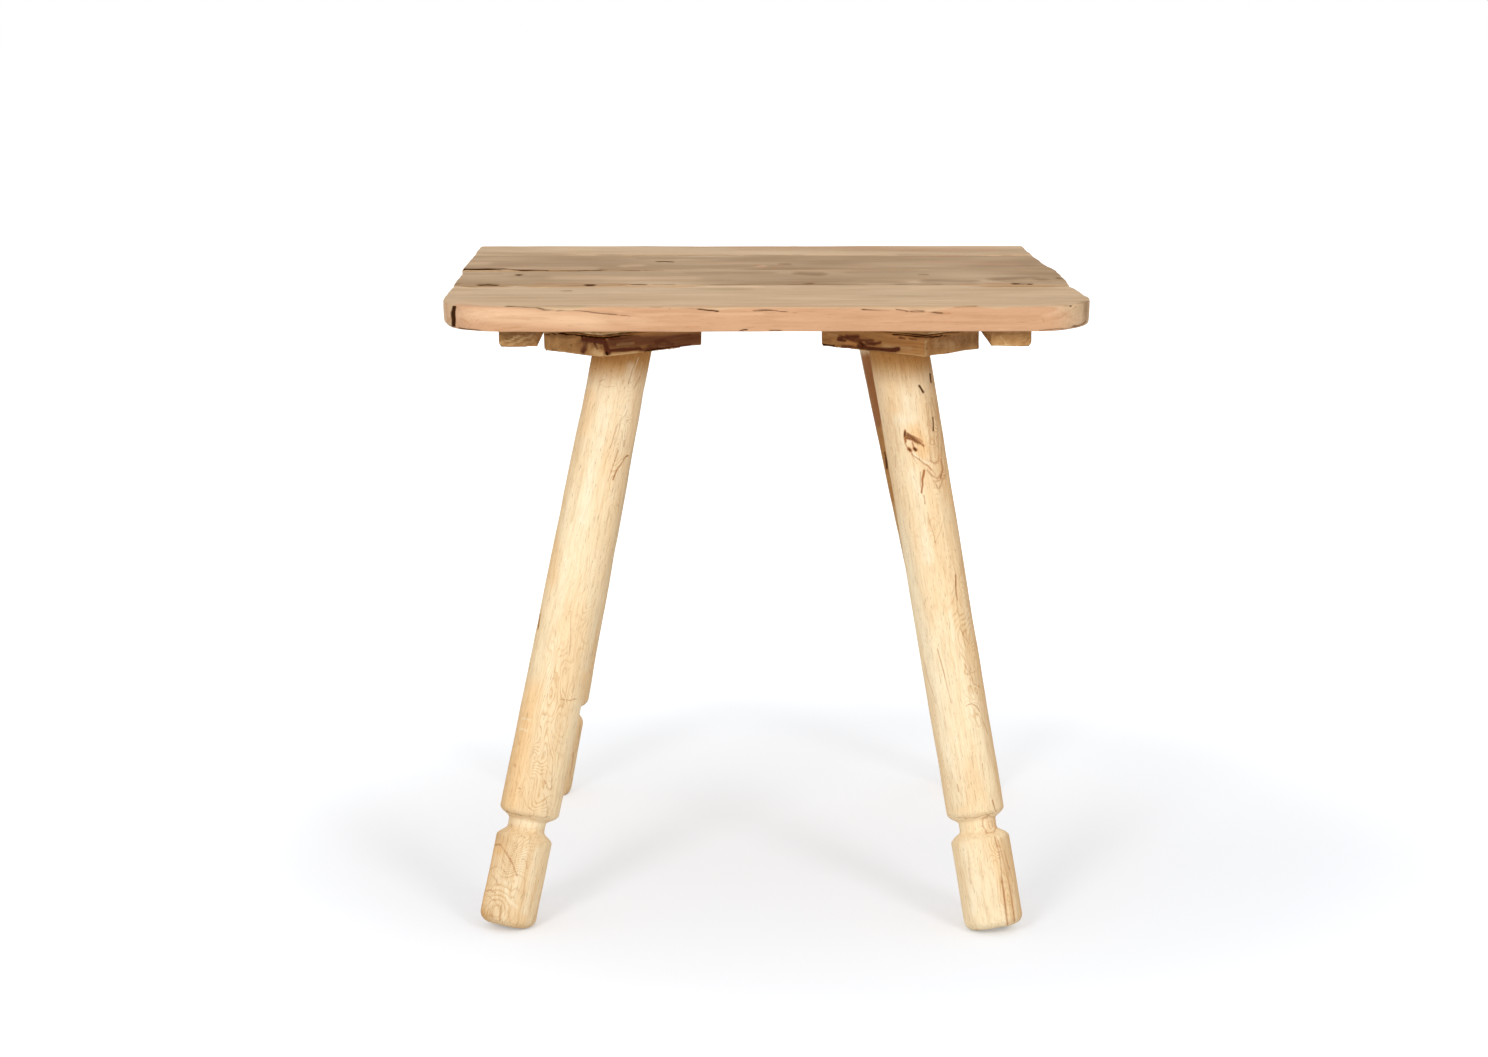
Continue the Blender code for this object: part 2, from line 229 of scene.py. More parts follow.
def marks_on(places, outward, grain_places, drawn, spread):
    """Each kind of mark at each point, from lines drawn in the picture's pixels.

    The lines wander by part of a pixel and thin out along the grain, as cracks do. The camera looks along the
    table's top, where one pixel covers ten times more wood in depth. There the ends of a mark fade over a
    longer way, so it is about as long as deep, and fine lines are drawn narrower. Where marks of one kind
    cross, the stronger one counts, but knots add up.
    """
    along = grain_places * (0.25, 1, 1)
    wander = np.stack([waves(along, 0.010, 1), waves(along, 0.008, 2)], 1)
    pixels = seen_at(places) + line_wander_px * wander
    front = facing(places, outward)
    full = np.clip(0.94 + 0.12 * waves(along, 0.014, 3), 0.6, 1)
    level = level_share(outward)
    soft = np.stack([1 / (spread * (1 + level)), np.ones(len(level))], 1)
    fine = np.stack([soft[:, 0] ** (0.5 + 0.3 * level), 1 + level_squeeze * level], 1)
    found = {kind: np.zeros(len(places)) for kind in MARKS + ("knot",)}
    strokes = [(kind, width, strength, np.reshape(line, (-1, 2)).astype(float)) for kind in found
               for width, strength, *lines in drawn.get(kind, ()) for line in lines]
    for kind, width, strength, line in strokes:
        reach = np.array([widths_across * spread, widths_down]) * width
        inside = (pixels > line.min(0) - reach) & (pixels < line.max(0) + reach)
        near = np.flatnonzero(inside.all(1) & (front > 0))
        squeeze = (fine if kind in FINE_MARKS else soft)[near]
        amount = strength * nearness(pixels[near], line, width, squeeze) * front[near]
        if kind in FINE_MARKS:
            amount *= full[near]
        gather = np.add if kind == "knot" else np.maximum
        found[kind][near] = gather(found[kind][near], amount)
    return found


# %% Hollows in old wood
def hollows(depth, *layers):
    """Gives a function for how deep old wood's face has sunk: an even depth, plus layers of waves.

    Each layer has an amount, a size, a share and a seed. Places along the grain are multiplied by the
    share, so a share of a quarter makes hollows four times longer than wide.
    """
    def dents(places):
        """How deep each place has sunk, in metres."""
        deep = depth
        for amount, size, share, seed in layers:
            deep = deep + amount * waves(places * (share, 1, 1), size, seed)
        return deep
    return dents


# %% Age a piece
crack_depth = 0.0006


def age(piece, grain_places, rings, drawn, dents, worn=(), curl=0.0, spread=1.0):
    """Dents a piece inwards, opens its cracks, and keeps its grain, rings and marks on its points.

    Worn holds marks that follow the piece's shape, such as the warm colour of a freshly sawn edge, the dust
    on a top, which also paints part of its shade, the painted shade on a leg's outer side and the painted
    shadow under its block. A knot is a hill in the height of the rings, in metres, so the rings close round
    it. Curl is how many metres the rings wave where the wood is figured. Spread is how many times longer
    than high the marks fade.
    """
    places, outward = read_points(piece.data)
    marks = marks_on(places, outward, grain_places, drawn, spread)
    for kind, amount in dict(worn).items():
        marks[kind] = np.maximum(marks[kind], amount)
    curls = curl * marks["figure"] * waves(grain_places * (0.3, 1, 1), 0.011, 95)
    rings = rings + marks["knot"] + curls
    inward = np.maximum(dents(grain_places), 0) + crack_depth * marks["crack_and_shadow"]
    write_points(piece.data, places - outward * inward[:, None])
    write_number(piece.data, "grain", grain_places)
    write_number(piece.data, "rings", rings)
    for kind in MARKS:
        write_number(piece.data, kind, marks[kind])
    print(piece.name, len(piece.data.polygons), "faces")


# %% [markdown]
# ## The finish of old wood
# Real timber shows three sizes of pattern at once: broad tones, growth rings, and fibres and pores finer
# than a hair. One function makes every wood here, because all of it grew the same way, and each finish
# passes its own colours. The fibres are noise stretched along the grain. The rings come from the `rings`
# attribute, which is a height that the surface cuts like the lines on a map, so they bend round knots. The
# marks get ragged edges, because each is compared with noise before it colours the wood.

# %% Node helpers
def colour(red, green, blue):
    """A colour written as it shows on a screen, from 0 to 255, as the linear light that Blender mixes."""
    shown = np.array([red, green, blue]) / 255
    linear = np.where(shown <= 0.04045, shown / 12.92, ((shown + 0.055) / 1.055) ** 2.4)
    return (*linear.tolist(), 1)


def new_material(name):
    """A material and its tree of shader nodes."""
    material = bpy.data.materials.new(name)
    material.use_nodes = True
    return material, material.node_tree


def add_node(tree, kind, inputs=(), **settings):
    """Adds a shader node. Each input is a name or number with a value, or with a socket to link."""
    node = tree.nodes.new("ShaderNode" + kind)
    for name, value in settings.items():
        setattr(node, name, value)
    for name, value in dict(inputs).items():
        if isinstance(value, bpy.types.NodeSocket):
            tree.links.new(value, node.inputs[name])
        else:
            node.inputs[name].default_value = value
    return node


print("mid grey on a screen is", round(colour(128, 128, 128)[0], 3), "of the light of white")


# %% Numbers, patterns and mixes from nodes
def number(tree, operation, first, second=0.0, third=0.0):
    """The result of one Math node."""
    return add_node(tree, "Math", {0: first, 1: second, 2: third}, operation=operation).outputs[0]


def attribute(tree, name, output="Fac"):
    """Reads what a piece keeps on its points."""
    return add_node(tree, "Attribute", attribute_name=name).outputs[output]


def stretched_noise(tree, places, along, across, detail, roughness=0.6):
    """Noise with so many cells to the metre along the grain, and so many across it."""
    scaled = add_node(tree, "Mapping", {"Vector": places, "Scale": (along, across, across)})
    inputs = {"Vector": scaled.outputs[0], "Scale": 1.0, "Detail": detail, "Roughness": roughness}
    return add_node(tree, "TexNoise", inputs).outputs["Fac"]


def ramp(tree, value, low, high, out_low=0.0, out_high=1.0):
    """Runs smoothly from one number to another as a value passes from low to high."""
    inputs = {"Value": value, "From Min": low, "From Max": high, "To Min": out_low, "To Max": out_high}
    return add_node(tree, "MapRange", inputs, interpolation_type="SMOOTHSTEP").outputs[0]


def blend(tree, share, first, second, mode="MIX"):
    """Mixes two colours by a share."""
    node = add_node(tree, "Mix", data_type="RGBA", blend_type=mode)
    for socket, value in ((0, share), (6, first), (7, second)):
        if isinstance(value, bpy.types.NodeSocket):
            tree.links.new(value, node.inputs[socket])
        else:
            node.inputs[socket].default_value = value
    return node.outputs[2]


# %% Marks and growth rings in a finish
def marked(tree, body, kind, finish, ragged, softness, torn):
    """Lays one kind of mark over the wood's colour, with an edge that the fibres tear by so much."""
    amount = attribute(tree, kind)
    wandering = number(tree, "MULTIPLY_ADD", ragged, torn, amount)
    share = ramp(tree, wandering, 0.5 - softness, 0.5 + softness)
    return blend(tree, number(tree, "MULTIPLY", share, ramp(tree, amount, 0.02, 0.3)), body, finish)


def growth_rings(tree, streak, wobble, gap, streak_shift, wobble_shift):
    """How dark the late wood of the rings is.

    The height in the pattern is shifted a little by the noises and divided by the gap between rings. What
    that leaves over a whole number runs from 0 to 1 through each ring. The dark grows slowly from the
    middle of a ring and ends sharply at its edge. It is weaker where the wobble is low or the wood plain.
    """
    height = number(tree, "MULTIPLY_ADD", streak, streak_shift, attribute(tree, "rings"))
    height = number(tree, "MULTIPLY_ADD", wobble, wobble_shift, height)
    turn = number(tree, "FRACT", number(tree, "DIVIDE", height, gap))
    ring = number(tree, "MULTIPLY", ramp(tree, turn, 0.45, 0.90), ramp(tree, turn, 0.92, 1.0, 1.0, 0.0))
    ring = number(tree, "MULTIPLY", ring, ramp(tree, wobble, 0.36, 0.56, 0.35, 1.0))
    return number(tree, "MULTIPLY", ring, ramp(tree, attribute(tree, "figure"), 0.0, 1.0, 0.12, 1.0))


# %% The wood itself
wobble_cells, speckle_cells = (45, 130), (260, 700)
soft_edge, stain_and_shadow_edge, crack_and_shadow_edge, crack_and_shadow_torn = 0.5, 0.35, 0.25, 0.3
bump_height = 0.0006


def wood(name, light, deep, grain_tint, dull_and_shade, warm, pale_and_light, stained_and_shadow, dirt_and_shadow, tone_cells, streak_cells,
         fibre_cells, pore_cells=(85, 1300), ring_gap=0.004, ring_drift=0.002, ring_wobble=0.0008,
         ring_strength=0.5, streak_strength=0.5, fibre_strength=0.5, pore_strength=0.3, rough=0.62, sheen=0.2,
         relief=0.25, soft_torn=0.25, stain_and_shadow_torn=0.6):
    """Old wood: broad tones and marks first, then rings, streaks, fibres and pores that darken them.

    Cells are how many patches of a pattern go in a metre, along the grain and across it. The colours are
    written as they show on a screen.
    """
    colours = (light, deep, grain_tint, dull_and_shade, warm, pale_and_light, stained_and_shadow, dirt_and_shadow)
    light, deep, grain_tint, dull_and_shade, warm, pale_and_light, stained_and_shadow, dirt_and_shadow = [colour(*shown) for shown in colours]
    material, tree = new_material(name)
    shader = tree.nodes["Principled BSDF"]
    places = attribute(tree, "grain", "Vector")

    tone = stretched_noise(tree, places, *tone_cells, 2)
    streak = stretched_noise(tree, places, *streak_cells, 4)
    fibre = stretched_noise(tree, places, *fibre_cells, 5, 0.65)
    wobble = stretched_noise(tree, places, *wobble_cells, 2)
    pores = ramp(tree, stretched_noise(tree, places, *pore_cells, 2), 0.60, 0.72)
    speckle = stretched_noise(tree, places, *speckle_cells, 3)
    ragged = number(tree, "MULTIPLY_ADD", speckle, 0.5, -0.5)
    ragged = number(tree, "MULTIPLY_ADD", fibre, 0.5, ragged)

    body = blend(tree, ramp(tree, tone, 0.35, 0.65), light, deep)
    # The shade and pale marks also lay painted shade and painted light; the stain and crack marks also lay
    # painted shadows.
    for kind, finish in (("shade", dull_and_shade), ("warm", warm), ("pale_and_light", pale_and_light)):
        body = marked(tree, body, kind, finish, ragged, soft_edge, soft_torn)
    body = marked(tree, body, "stain_and_shadow", stained_and_shadow, ragged, stain_and_shadow_edge, stain_and_shadow_torn)

    ring = growth_rings(tree, streak, wobble, ring_gap, ring_drift, ring_wobble)
    for pattern, strength in ((ring, ring_strength), (ramp(tree, streak, 0.42, 0.66), streak_strength),
                              (ramp(tree, fibre, 0.42, 0.68), fibre_strength)):
        share = number(tree, "MULTIPLY", pattern, strength)
        body = blend(tree, share, body, blend(tree, 1.0, body, grain_tint, "MULTIPLY"))
    body = blend(tree, number(tree, "MULTIPLY", pores, pore_strength), body, dirt_and_shadow)
    body = marked(tree, body, "crack_and_shadow", dirt_and_shadow, ragged, crack_and_shadow_edge, crack_and_shadow_torn)

    bumps = number(tree, "SUBTRACT", fibre, number(tree, "MULTIPLY", pores, 0.5))
    bumps = number(tree, "SUBTRACT", bumps, attribute(tree, "crack_and_shadow"))
    bump = add_node(tree, "Bump", {"Strength": relief, "Distance": bump_height, "Height": bumps})
    tree.links.new(body, shader.inputs["Base Color"])
    tree.links.new(ramp(tree, streak, 0.3, 0.7, rough - 0.05, rough + 0.10), shader.inputs["Roughness"])
    tree.links.new(bump.outputs[0], shader.inputs["Normal"])
    shine = ramp(tree, attribute(tree, "crack_and_shadow"), 0.1, 0.5, sheen, 0.0)
    tree.links.new(shine, shader.inputs["Specular IOR Level"])
    return material


# %% Four woods
plank_wood = wood(
    "plank_wood", light=(234, 203, 165), deep=(222, 190, 151), grain_tint=(186, 166, 142),
    dull_and_shade=(157, 123, 86), warm=(208, 161, 123), pale_and_light=(250, 210, 170), stained_and_shadow=(190, 132, 82),
    dirt_and_shadow=(64, 36, 18), tone_cells=(5, 15), streak_cells=(8, 60), fibre_cells=(16, 330), ring_gap=0.007,
    ring_strength=0.10, streak_strength=0.11, fibre_strength=0.20, pore_strength=0.15, sheen=0.1,
    soft_torn=0.12)
batten_wood = wood(
    "batten_wood", light=(194, 150, 95), deep=(174, 130, 77), grain_tint=(190, 164, 130), dull_and_shade=(140, 100, 60),
    warm=(214, 166, 108), pale_and_light=(238, 204, 150), stained_and_shadow=(120, 74, 38), dirt_and_shadow=(70, 44, 22), tone_cells=(9, 40),
    streak_cells=(12, 150), fibre_cells=(30, 500), ring_gap=0.003, ring_strength=0.35, streak_strength=0.35,
    fibre_strength=0.2, pore_strength=0.2, sheen=0.15)
block_wood = wood(
    "block_wood", light=(218, 167, 105), deep=(194, 143, 85), grain_tint=(190, 160, 122), dull_and_shade=(128, 80, 46),
    warm=(220, 161, 97), pale_and_light=(230, 190, 134), stained_and_shadow=(104, 50, 22), dirt_and_shadow=(44, 20, 8), tone_cells=(10, 40),
    streak_cells=(14, 120), fibre_cells=(34, 520), ring_gap=0.0035, ring_strength=0.3, streak_strength=0.35,
    fibre_strength=0.2, pore_strength=0.2, sheen=0.15)
leg_wood = wood(
    "leg_wood", light=(252, 232, 194), deep=(248, 220, 176), grain_tint=(214, 184, 144), dull_and_shade=(202, 152, 88),
    warm=(250, 208, 152), pale_and_light=(255, 242, 210), stained_and_shadow=(180, 122, 76), dirt_and_shadow=(98, 64, 40), tone_cells=(7, 26),
    streak_cells=(16, 130), fibre_cells=(42, 480), pore_cells=(110, 1050), ring_gap=0.0017,
    ring_drift=0.0008, ring_wobble=0.0015, ring_strength=0.6, streak_strength=0.13, fibre_strength=0.3,
    pore_strength=0.38, rough=0.66, sheen=0.08, relief=0.35, stain_and_shadow_torn=0.35)
print("woods:", [material.name for material in (plank_wood, batten_wood, block_wood, leg_wood)])

# %% [markdown]
# ## Boards
# Planks, battens, blocks and pads are all boards, so one function makes them. A box with bevelled edges
# would do from far off, but a real board's outline wanders, its corners are worn by different amounts and
# its faces are not flat. So the board starts from four edge lines in plan. A Coons patch, which blends
# four edges into a grid, fills the top and bottom faces, and rows of points carried round the rim make the
# arrises and the walls.

# %% Lines and grids
def even_steps(line, count):
    """Points at even steps along a drawn line."""
    line = np.asarray(line, float)
    along = np.concatenate([[0], np.cumsum(np.linalg.norm(np.diff(line, axis=0), axis=1))])
    where = np.linspace(0, along[-1], count + 1)
    return np.stack([np.interp(where, along, line[:, axis]) for axis in range(line.shape[1])], 1)


def coons(front, right, back, left):
    """Fills four edges with a grid: the blend across, plus the blend along, less the blend of the corners."""
    s = np.linspace(0, 1, len(front))[None, :, None]
    t = np.linspace(0, 1, len(left))[:, None, None]
    along = (1 - t) * front[None] + t * back[None]
    across = (1 - s) * left[:, None] + s * right[:, None]
    near = (1 - s) * front[0] + s * front[-1]
    far = (1 - s) * back[0] + s * back[-1]
    return along + across - (1 - t) * near - t * far


def rim_normals(rim):
    """The direction straight out of a closed outline that turns left, at each of its points."""
    tangent = np.roll(rim, -1, 0) - np.roll(rim, 1, 0)
    outward = np.stack([tangent[:, 1], -tangent[:, 0]], 1)
    return outward / np.linalg.norm(outward, axis=1, keepdims=True)


print("a line in four even steps:", even_steps([(0, 0), (1, 0), (1, 1)], 4).tolist())


# %% The rim and the faces of a board
def rim_rows(rim, low, high, top_radius, low_radius, arris_rows, wall_rows):
    """Rows of points down the rim of a board: its upper arris, its wall and its lower arris.

    At each angle of an arris, a point lies inside the rim by the radius times one less the sine, and as
    far from the face as the radius times one less the cosine.
    """
    angles = np.linspace(0, math.pi / 2, arris_rows + 1)[1:, None]
    down = np.linspace(0, 1, wall_rows + 2)[1:-1, None]
    offsets = np.concatenate([
        -top_radius * (1 - np.sin(angles)),
        np.zeros((wall_rows, len(rim))),
        -low_radius * (1 - np.sin(angles[::-1])),
    ])
    levels = np.concatenate([
        high - top_radius * (1 - np.cos(angles)),
        (high - top_radius) * (1 - down) + (low + low_radius) * down,
        low + low_radius * (1 - np.cos(angles[::-1])),
    ])
    return np.concatenate([rim + rim_normals(rim) * offsets[..., None], levels[..., None]], -1)


def board_faces(rows, columns, rim_shape):
    """Faces of a board whose points are its top grid, then its rim's rows, then its low grid."""
    top = np.arange((rows + 1) * (columns + 1)).reshape(rows + 1, columns + 1)
    edge = np.concatenate([top[0, :-1], top[:-1, -1], top[-1, :0:-1], top[:0:-1, 0]])
    wall = top.size + np.arange(math.prod(rim_shape)).reshape(rim_shape)
    below = top.size + wall.size
    bands = np.concatenate([edge[None], wall, edge[None] + below])
    top_faces = np.stack([top[:-1, :-1], top[:-1, 1:], top[1:, 1:], top[1:, :-1]], -1)
    low_faces = top_faces[..., ::-1] + below
    following = np.roll(bands, -1, 1)
    side_faces = np.stack([bands[:-1], bands[1:], following[1:], following[:-1]], -1)
    return np.concatenate([part.reshape(-1, 4) for part in (top_faces, side_faces, low_faces)])


print("a board of one cell, with one row round its rim, has", len(board_faces(1, 1, (1, 4))), "faces")


# %% Shape a board
def board(edges, low, high, top_arris, low_arris, pitch, arris_rows=5, wall_rows=14):
    """Points and faces of a closed board.

    The edges are four drawn lines in plan: front and back from left to right, left and right from front to
    back. Each arris is a quarter circle whose radius is a function of the place on the rim.
    """
    front, right, back, left = edges
    columns = max(4, round(np.linalg.norm(np.diff(front, axis=0), axis=1).sum() / pitch))
    rows = max(4, round(np.linalg.norm(np.diff(left, axis=0), axis=1).sum() / pitch))
    front, back = even_steps(front, columns), even_steps(back, columns)
    left, right = even_steps(left, rows), even_steps(right, rows)
    rim = np.concatenate([front[:-1], right[:-1], back[:0:-1], left[:0:-1]])

    def face(radius, level):
        """The grid inside the rim, drawn in by the arris."""
        inner = rim - rim_normals(rim) * radius[:, None]
        closed = np.concatenate([inner, inner[:1]])
        corner_2, corner_3 = columns + rows, 2 * columns + rows
        grid = coons(closed[:columns + 1], closed[columns:corner_2 + 1],
                     closed[corner_2:corner_3 + 1][::-1], closed[corner_3:][::-1])
        flat = grid.reshape(-1, 2)
        return np.column_stack([flat, np.full(len(flat), level)])

    top_radius, low_radius = top_arris(rim), low_arris(rim)
    sides = rim_rows(rim, low, high, top_radius, low_radius, arris_rows, wall_rows)
    points = np.concatenate([face(top_radius, high), sides.reshape(-1, 3), face(low_radius, low)])
    return points, board_faces(rows, columns, sides.shape[:2]).tolist()


# %% [markdown]
# ## The four planks
# The top is reclaimed floor or wall boarding. Its two front corners were rounded with a saw and sanded, the
# ends still wander by a few millimetres, and the upper front arris is worn where hands and knees rub it. In
# plan each plank is a rectangle with drawn ends. Two quarter ellipses make the front corners.

# %% How the ends of the planks wander
plank_names = ("front_plank", "middle_plank", "rear_plank", "rear_strip")
end_wander = 0.009

# The ends: place from front to back as a share of the plank's width, and how far the wood falls short of
# the full width as a share of end_wander
left_end_shares = {
    "front_plank": ((0, 0.80), (0.42, 0.60), (0.66, 0.52), (0.84, 0.58), (1, 0.62)),
    "middle_plank": ((0, 0.55), (0.30, 0.42), (0.56, 0.46), (0.80, 0.40), (1, 0.34)),
    "rear_plank": ((0, 0.10), (0.30, 0.04), (0.55, 0.10), (1, 0.16)),
    "rear_strip": ((0, 0.12), (0.60, 0.02), (1, 0.00)),
}
right_end_shares = {
    "front_plank": ((0, -0.14), (0.42, -0.20), (0.55, -0.04), (0.80, 0.18), (1, 0.44)),
    "middle_plank": ((0, 0.36), (0.30, 0.22), (0.60, 0.14), (1, 0.08)),
    "rear_plank": ((0, 0.12), (0.25, 0.52), (0.45, 0.72), (1, 0.80)),
    "rear_strip": ((0, 0.86), (0.60, 0.92), (1, 0.92)),
}
print("the ends wander by up to", end_wander * 1000, "mm")

# %% Rounded corners
corner_points = 24


def quarter(middle, reach, start):
    """A quarter ellipse that turns left about a middle, from a start angle in degrees."""
    angles = np.radians(np.linspace(start, start + 90, corner_points))
    return np.stack([middle[0] + reach[0] * np.cos(angles), middle[1] + reach[1] * np.sin(angles)], 1)


def corner_halves(middle, reach, start):
    """The two halves of a quarter ellipse, which share its middle point."""
    arc = quarter(middle, reach, start)
    return arc[:corner_points // 2 + 1], arc[corner_points // 2:]


print("half a corner:", corner_halves((0, 0), (1, 1), 0)[1].round(2).tolist()[::6])

# %% Outlines of the planks
corner_reach_left, corner_reach_right, back_corner_reach = (0.058, 0.058), (0.058, 0.070), 0.005
end_points = 60


def plank_edges(name):
    """The four drawn edges of a plank in plan, with its ends and corners."""
    low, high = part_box(name)
    half = cad_box[1][0]
    ys = np.linspace(low.y, high.y, end_points)
    share = (ys - low.y) / (high.y - low.y)
    left_x = -half + end_wander * np.interp(share, *np.transpose(left_end_shares[name]))
    right_x = half - end_wander * np.interp(share, *np.transpose(right_end_shares[name]))
    left, right = np.stack([left_x, ys], 1), np.stack([right_x, ys], 1)
    front = np.array([left[0], right[0]])
    back = np.array([left[-1], right[-1]])
    if name == "front_plank":
        reach_x, reach_y = corner_reach_left
        middle = (left_x[0] + reach_x, low.y + reach_y)
        left_arc, front_left = corner_halves(middle, corner_reach_left, 180)
        left = np.concatenate([left_arc[::-1], left[ys > low.y + reach_y]])
        reach_x, reach_y = corner_reach_right
        middle = (right_x[0] - reach_x, low.y + reach_y)
        front_right, right_arc = corner_halves(middle, corner_reach_right, 270)
        right = np.concatenate([right_arc, right[ys > low.y + reach_y]])
        front = np.concatenate([front_left, front_right])
    if name == "rear_strip":
        arc_start = high.y - back_corner_reach
        reach = (back_corner_reach, back_corner_reach)
        back_left, left_arc = corner_halves((back[0][0] + back_corner_reach, arc_start), reach, 90)
        left = np.concatenate([left[ys < arc_start], left_arc[::-1]])
        right_arc, back_right = corner_halves((back[1][0] - back_corner_reach, arc_start), reach, 0)
        right = np.concatenate([right[ys < arc_start], right_arc])
        back = np.concatenate([back_left[::-1], back_right[::-1]])
    return front, right, back, left


print("each plank's front edge is drawn with", [len(plank_edges(name)[0]) for name in plank_names], "points")

# %% [markdown]
# ## Marks on the planks
# Each mark is a width, a strength and one or more lines. A line gives the place of one point after
# another, across and down, in the pixels of the camera's picture. The planks are dull where years of dust
# lie in them, and cracked along the worn upper arris and at the seams. Painted shade darkens the right front
# corner's edge, where it turns away, and the underside of its lower arris.

# %% Marks on the front plank
plank_marks = {}
plank_marks["front_plank"] = {
    "shade": [
        # The first stroke below is painted shade under the right corner's lower arris.
        (1.6, 0.5, (1074, 326, 1082, 324.6, 1086, 321), (911, 311.4, 924, 312)),
        (4, 0.37, (455, 290, 500, 291, 560, 289)), (5, 0.4, (560, 288, 640, 290, 740, 289)),
        (4, 0.38, (800, 288, 860, 289, 900, 288)), (3.5, 0.38, (740, 300, 800, 299, 880, 301)),
        (3, 0.42, (550, 306, 570, 307, 580, 307)), (1.2, 0.5, (444, 302, 445.4, 312, 447, 324)),
        # The first two strokes below paint shade on the right corner's edge, where it turns away.
        (1, 1, (1090, 301, 1089.4, 312, 1088.2, 320)), (2, 0.85, (1087.6, 302, 1087, 321)),
        (3.5, 0.32, (1064, 304, 1070, 318)), (3, 0.36, (473, 289, 486, 289)),
        (1.5, 0.45, (448, 295.6, 462, 295.6)), (1.8, 0.42, (700, 309.6, 716, 311)),
    ],
    "warm": [
        (2.5, 0.4, (640, 307, 700, 306, 760, 307, 860, 307, 1000, 308)),
        (1.4, 0.65, (446, 304, 447, 312, 449, 322)),
    ],
    "pale_and_light": [
        (3, 0.3, (620, 312, 640, 314, 700, 314, 760, 314), (522, 311, 560, 313), (1046, 316, 1056, 312)),
        (10, 0.5, (474, 314, 490, 314, 530, 317, 590, 321)), (7, 0.32, (500, 312, 580, 318, 640, 321)),
        (2.4, 0.26, (908, 315, 924, 314)), (1, 0.45, (679.6, 286.6, 760, 286.6)),
        (3, 0.24, (640, 322, 660, 324)), (3, 0.2, (780, 319, 850, 320)), (3, 0.25, (590, 318, 604, 320)),
        (1.4, 0.28, (880, 321, 900, 321.6)), (2, 0.2, (955, 320, 970, 320)),
        (1.1, 0.4, (901, 308.4, 908, 309)), (1.2, 0.3, (1000, 329, 1010, 329)),
    ],
    "stain_and_shadow": [
        (1.2, 0.5, (685.6, 327.4, 699, 327), (460, 318, 466, 322, 470, 325), (478, 319, 474, 324),
         (1018, 321.8, 1027, 321.8)), (1.3, 0.5, (640, 329, 650, 328.6), (937, 313.2, 949, 313.4),
         (1054.6, 310.7)), (1.6, 0.5, (495.7, 330, 507, 328, 519.4, 327)), (1.5, 0.4, (447, 322, 452, 316)),
        (1.2, 0.42, (880, 323, 964, 321.6, 1013, 321.6)), (1.4, 0.35, (820, 326, 870, 325)),
        (1.6, 0.3, (610, 324, 660, 325)), (1, 0.6, (955, 306.4, 975, 306)), (2, 0.4, (684, 316, 700, 316)),
        (2.2, 0.35, (490, 317, 520, 317, 548, 318)), (1.4, 0.4, (500, 317, 530, 319)),
        (2.2, 0.3, (640, 325, 660, 327)), (2, 0.35, (700, 324, 724, 324)), (2, 0.3, (870, 317, 905, 318)),
        (1.2, 0.55, (1042.6, 319.6, 1044.4, 322.4)), (1, 0.4, (1047, 301.8, 1057, 301.8)),
        (1.1, 0.55, (1050.7, 319.3, 1060, 317.9, 1065.7, 314.3, 1071.4, 309.3, 1076.4, 306.4)),
    ],
    "crack_and_shadow": [
        (1, 0.5, (681, 307.4, 699, 308), (955.6, 306.2, 975.6, 306.2), (1064.6, 305.4, 1067, 305.4)),
        (0.9, 0.5, (784, 311.6, 800, 314), (650, 306.8, 660, 306.8), (562, 290.4, 570.8, 290.4)),
        (1.3, 0.8, (699, 308.6, 708, 309.8, 717.6, 311.2), (741, 330.6, 746.8, 329.6)),
        (1.2, 0.64, (862, 309.4, 880, 310.2, 893, 310.4), (924, 312, 930, 312, 942, 313)),
        (1.5, 1, (453.8, 307, 452.8, 312, 452.6, 320, 453.2, 327)), (1.4, 0.7, (449, 326, 453, 327.4)),
        (1.3, 0.62, (508, 305.8, 524, 306.6, 536.7, 307.6, 544.4, 309, 557.8, 310, 573.3, 310.2, 584.4, 311.6,
         600, 313.4, 616.7, 315)), (1.1, 0.55, (616.7, 315, 630, 316.6)), (1.1, 0.75, (669.4, 308.4)),
        (1.1, 0.65, (754, 310.6, 770, 310, 776, 310.4, 786, 312)),
        (1.4, 0.84, (897, 309.8, 902, 310.2, 908, 311.4)), (1.5, 0.74, (911, 311.4, 918, 311.4, 924, 311.8)),
        (1.3, 0.75, (1071, 305.6)), (1.1, 0.6, (1069.6, 325.4)), (1.1, 0.7, (770, 330.6, 781, 330.4)),
        (1.2, 0.7, (458, 328.6, 470, 330, 480, 330.6)),
        # This stroke and the first on the next line are painted shade along the right corner's lower arris.
        (1.2, 0.6, (1040, 330.4, 1060, 329.4, 1071.4, 327.6, 1081, 325.8)),
        (1.6, 0.62, (1074, 327, 1082, 325.4, 1086, 322)), (0.9, 0.4, (455, 318, 447, 318)),
    ],
}

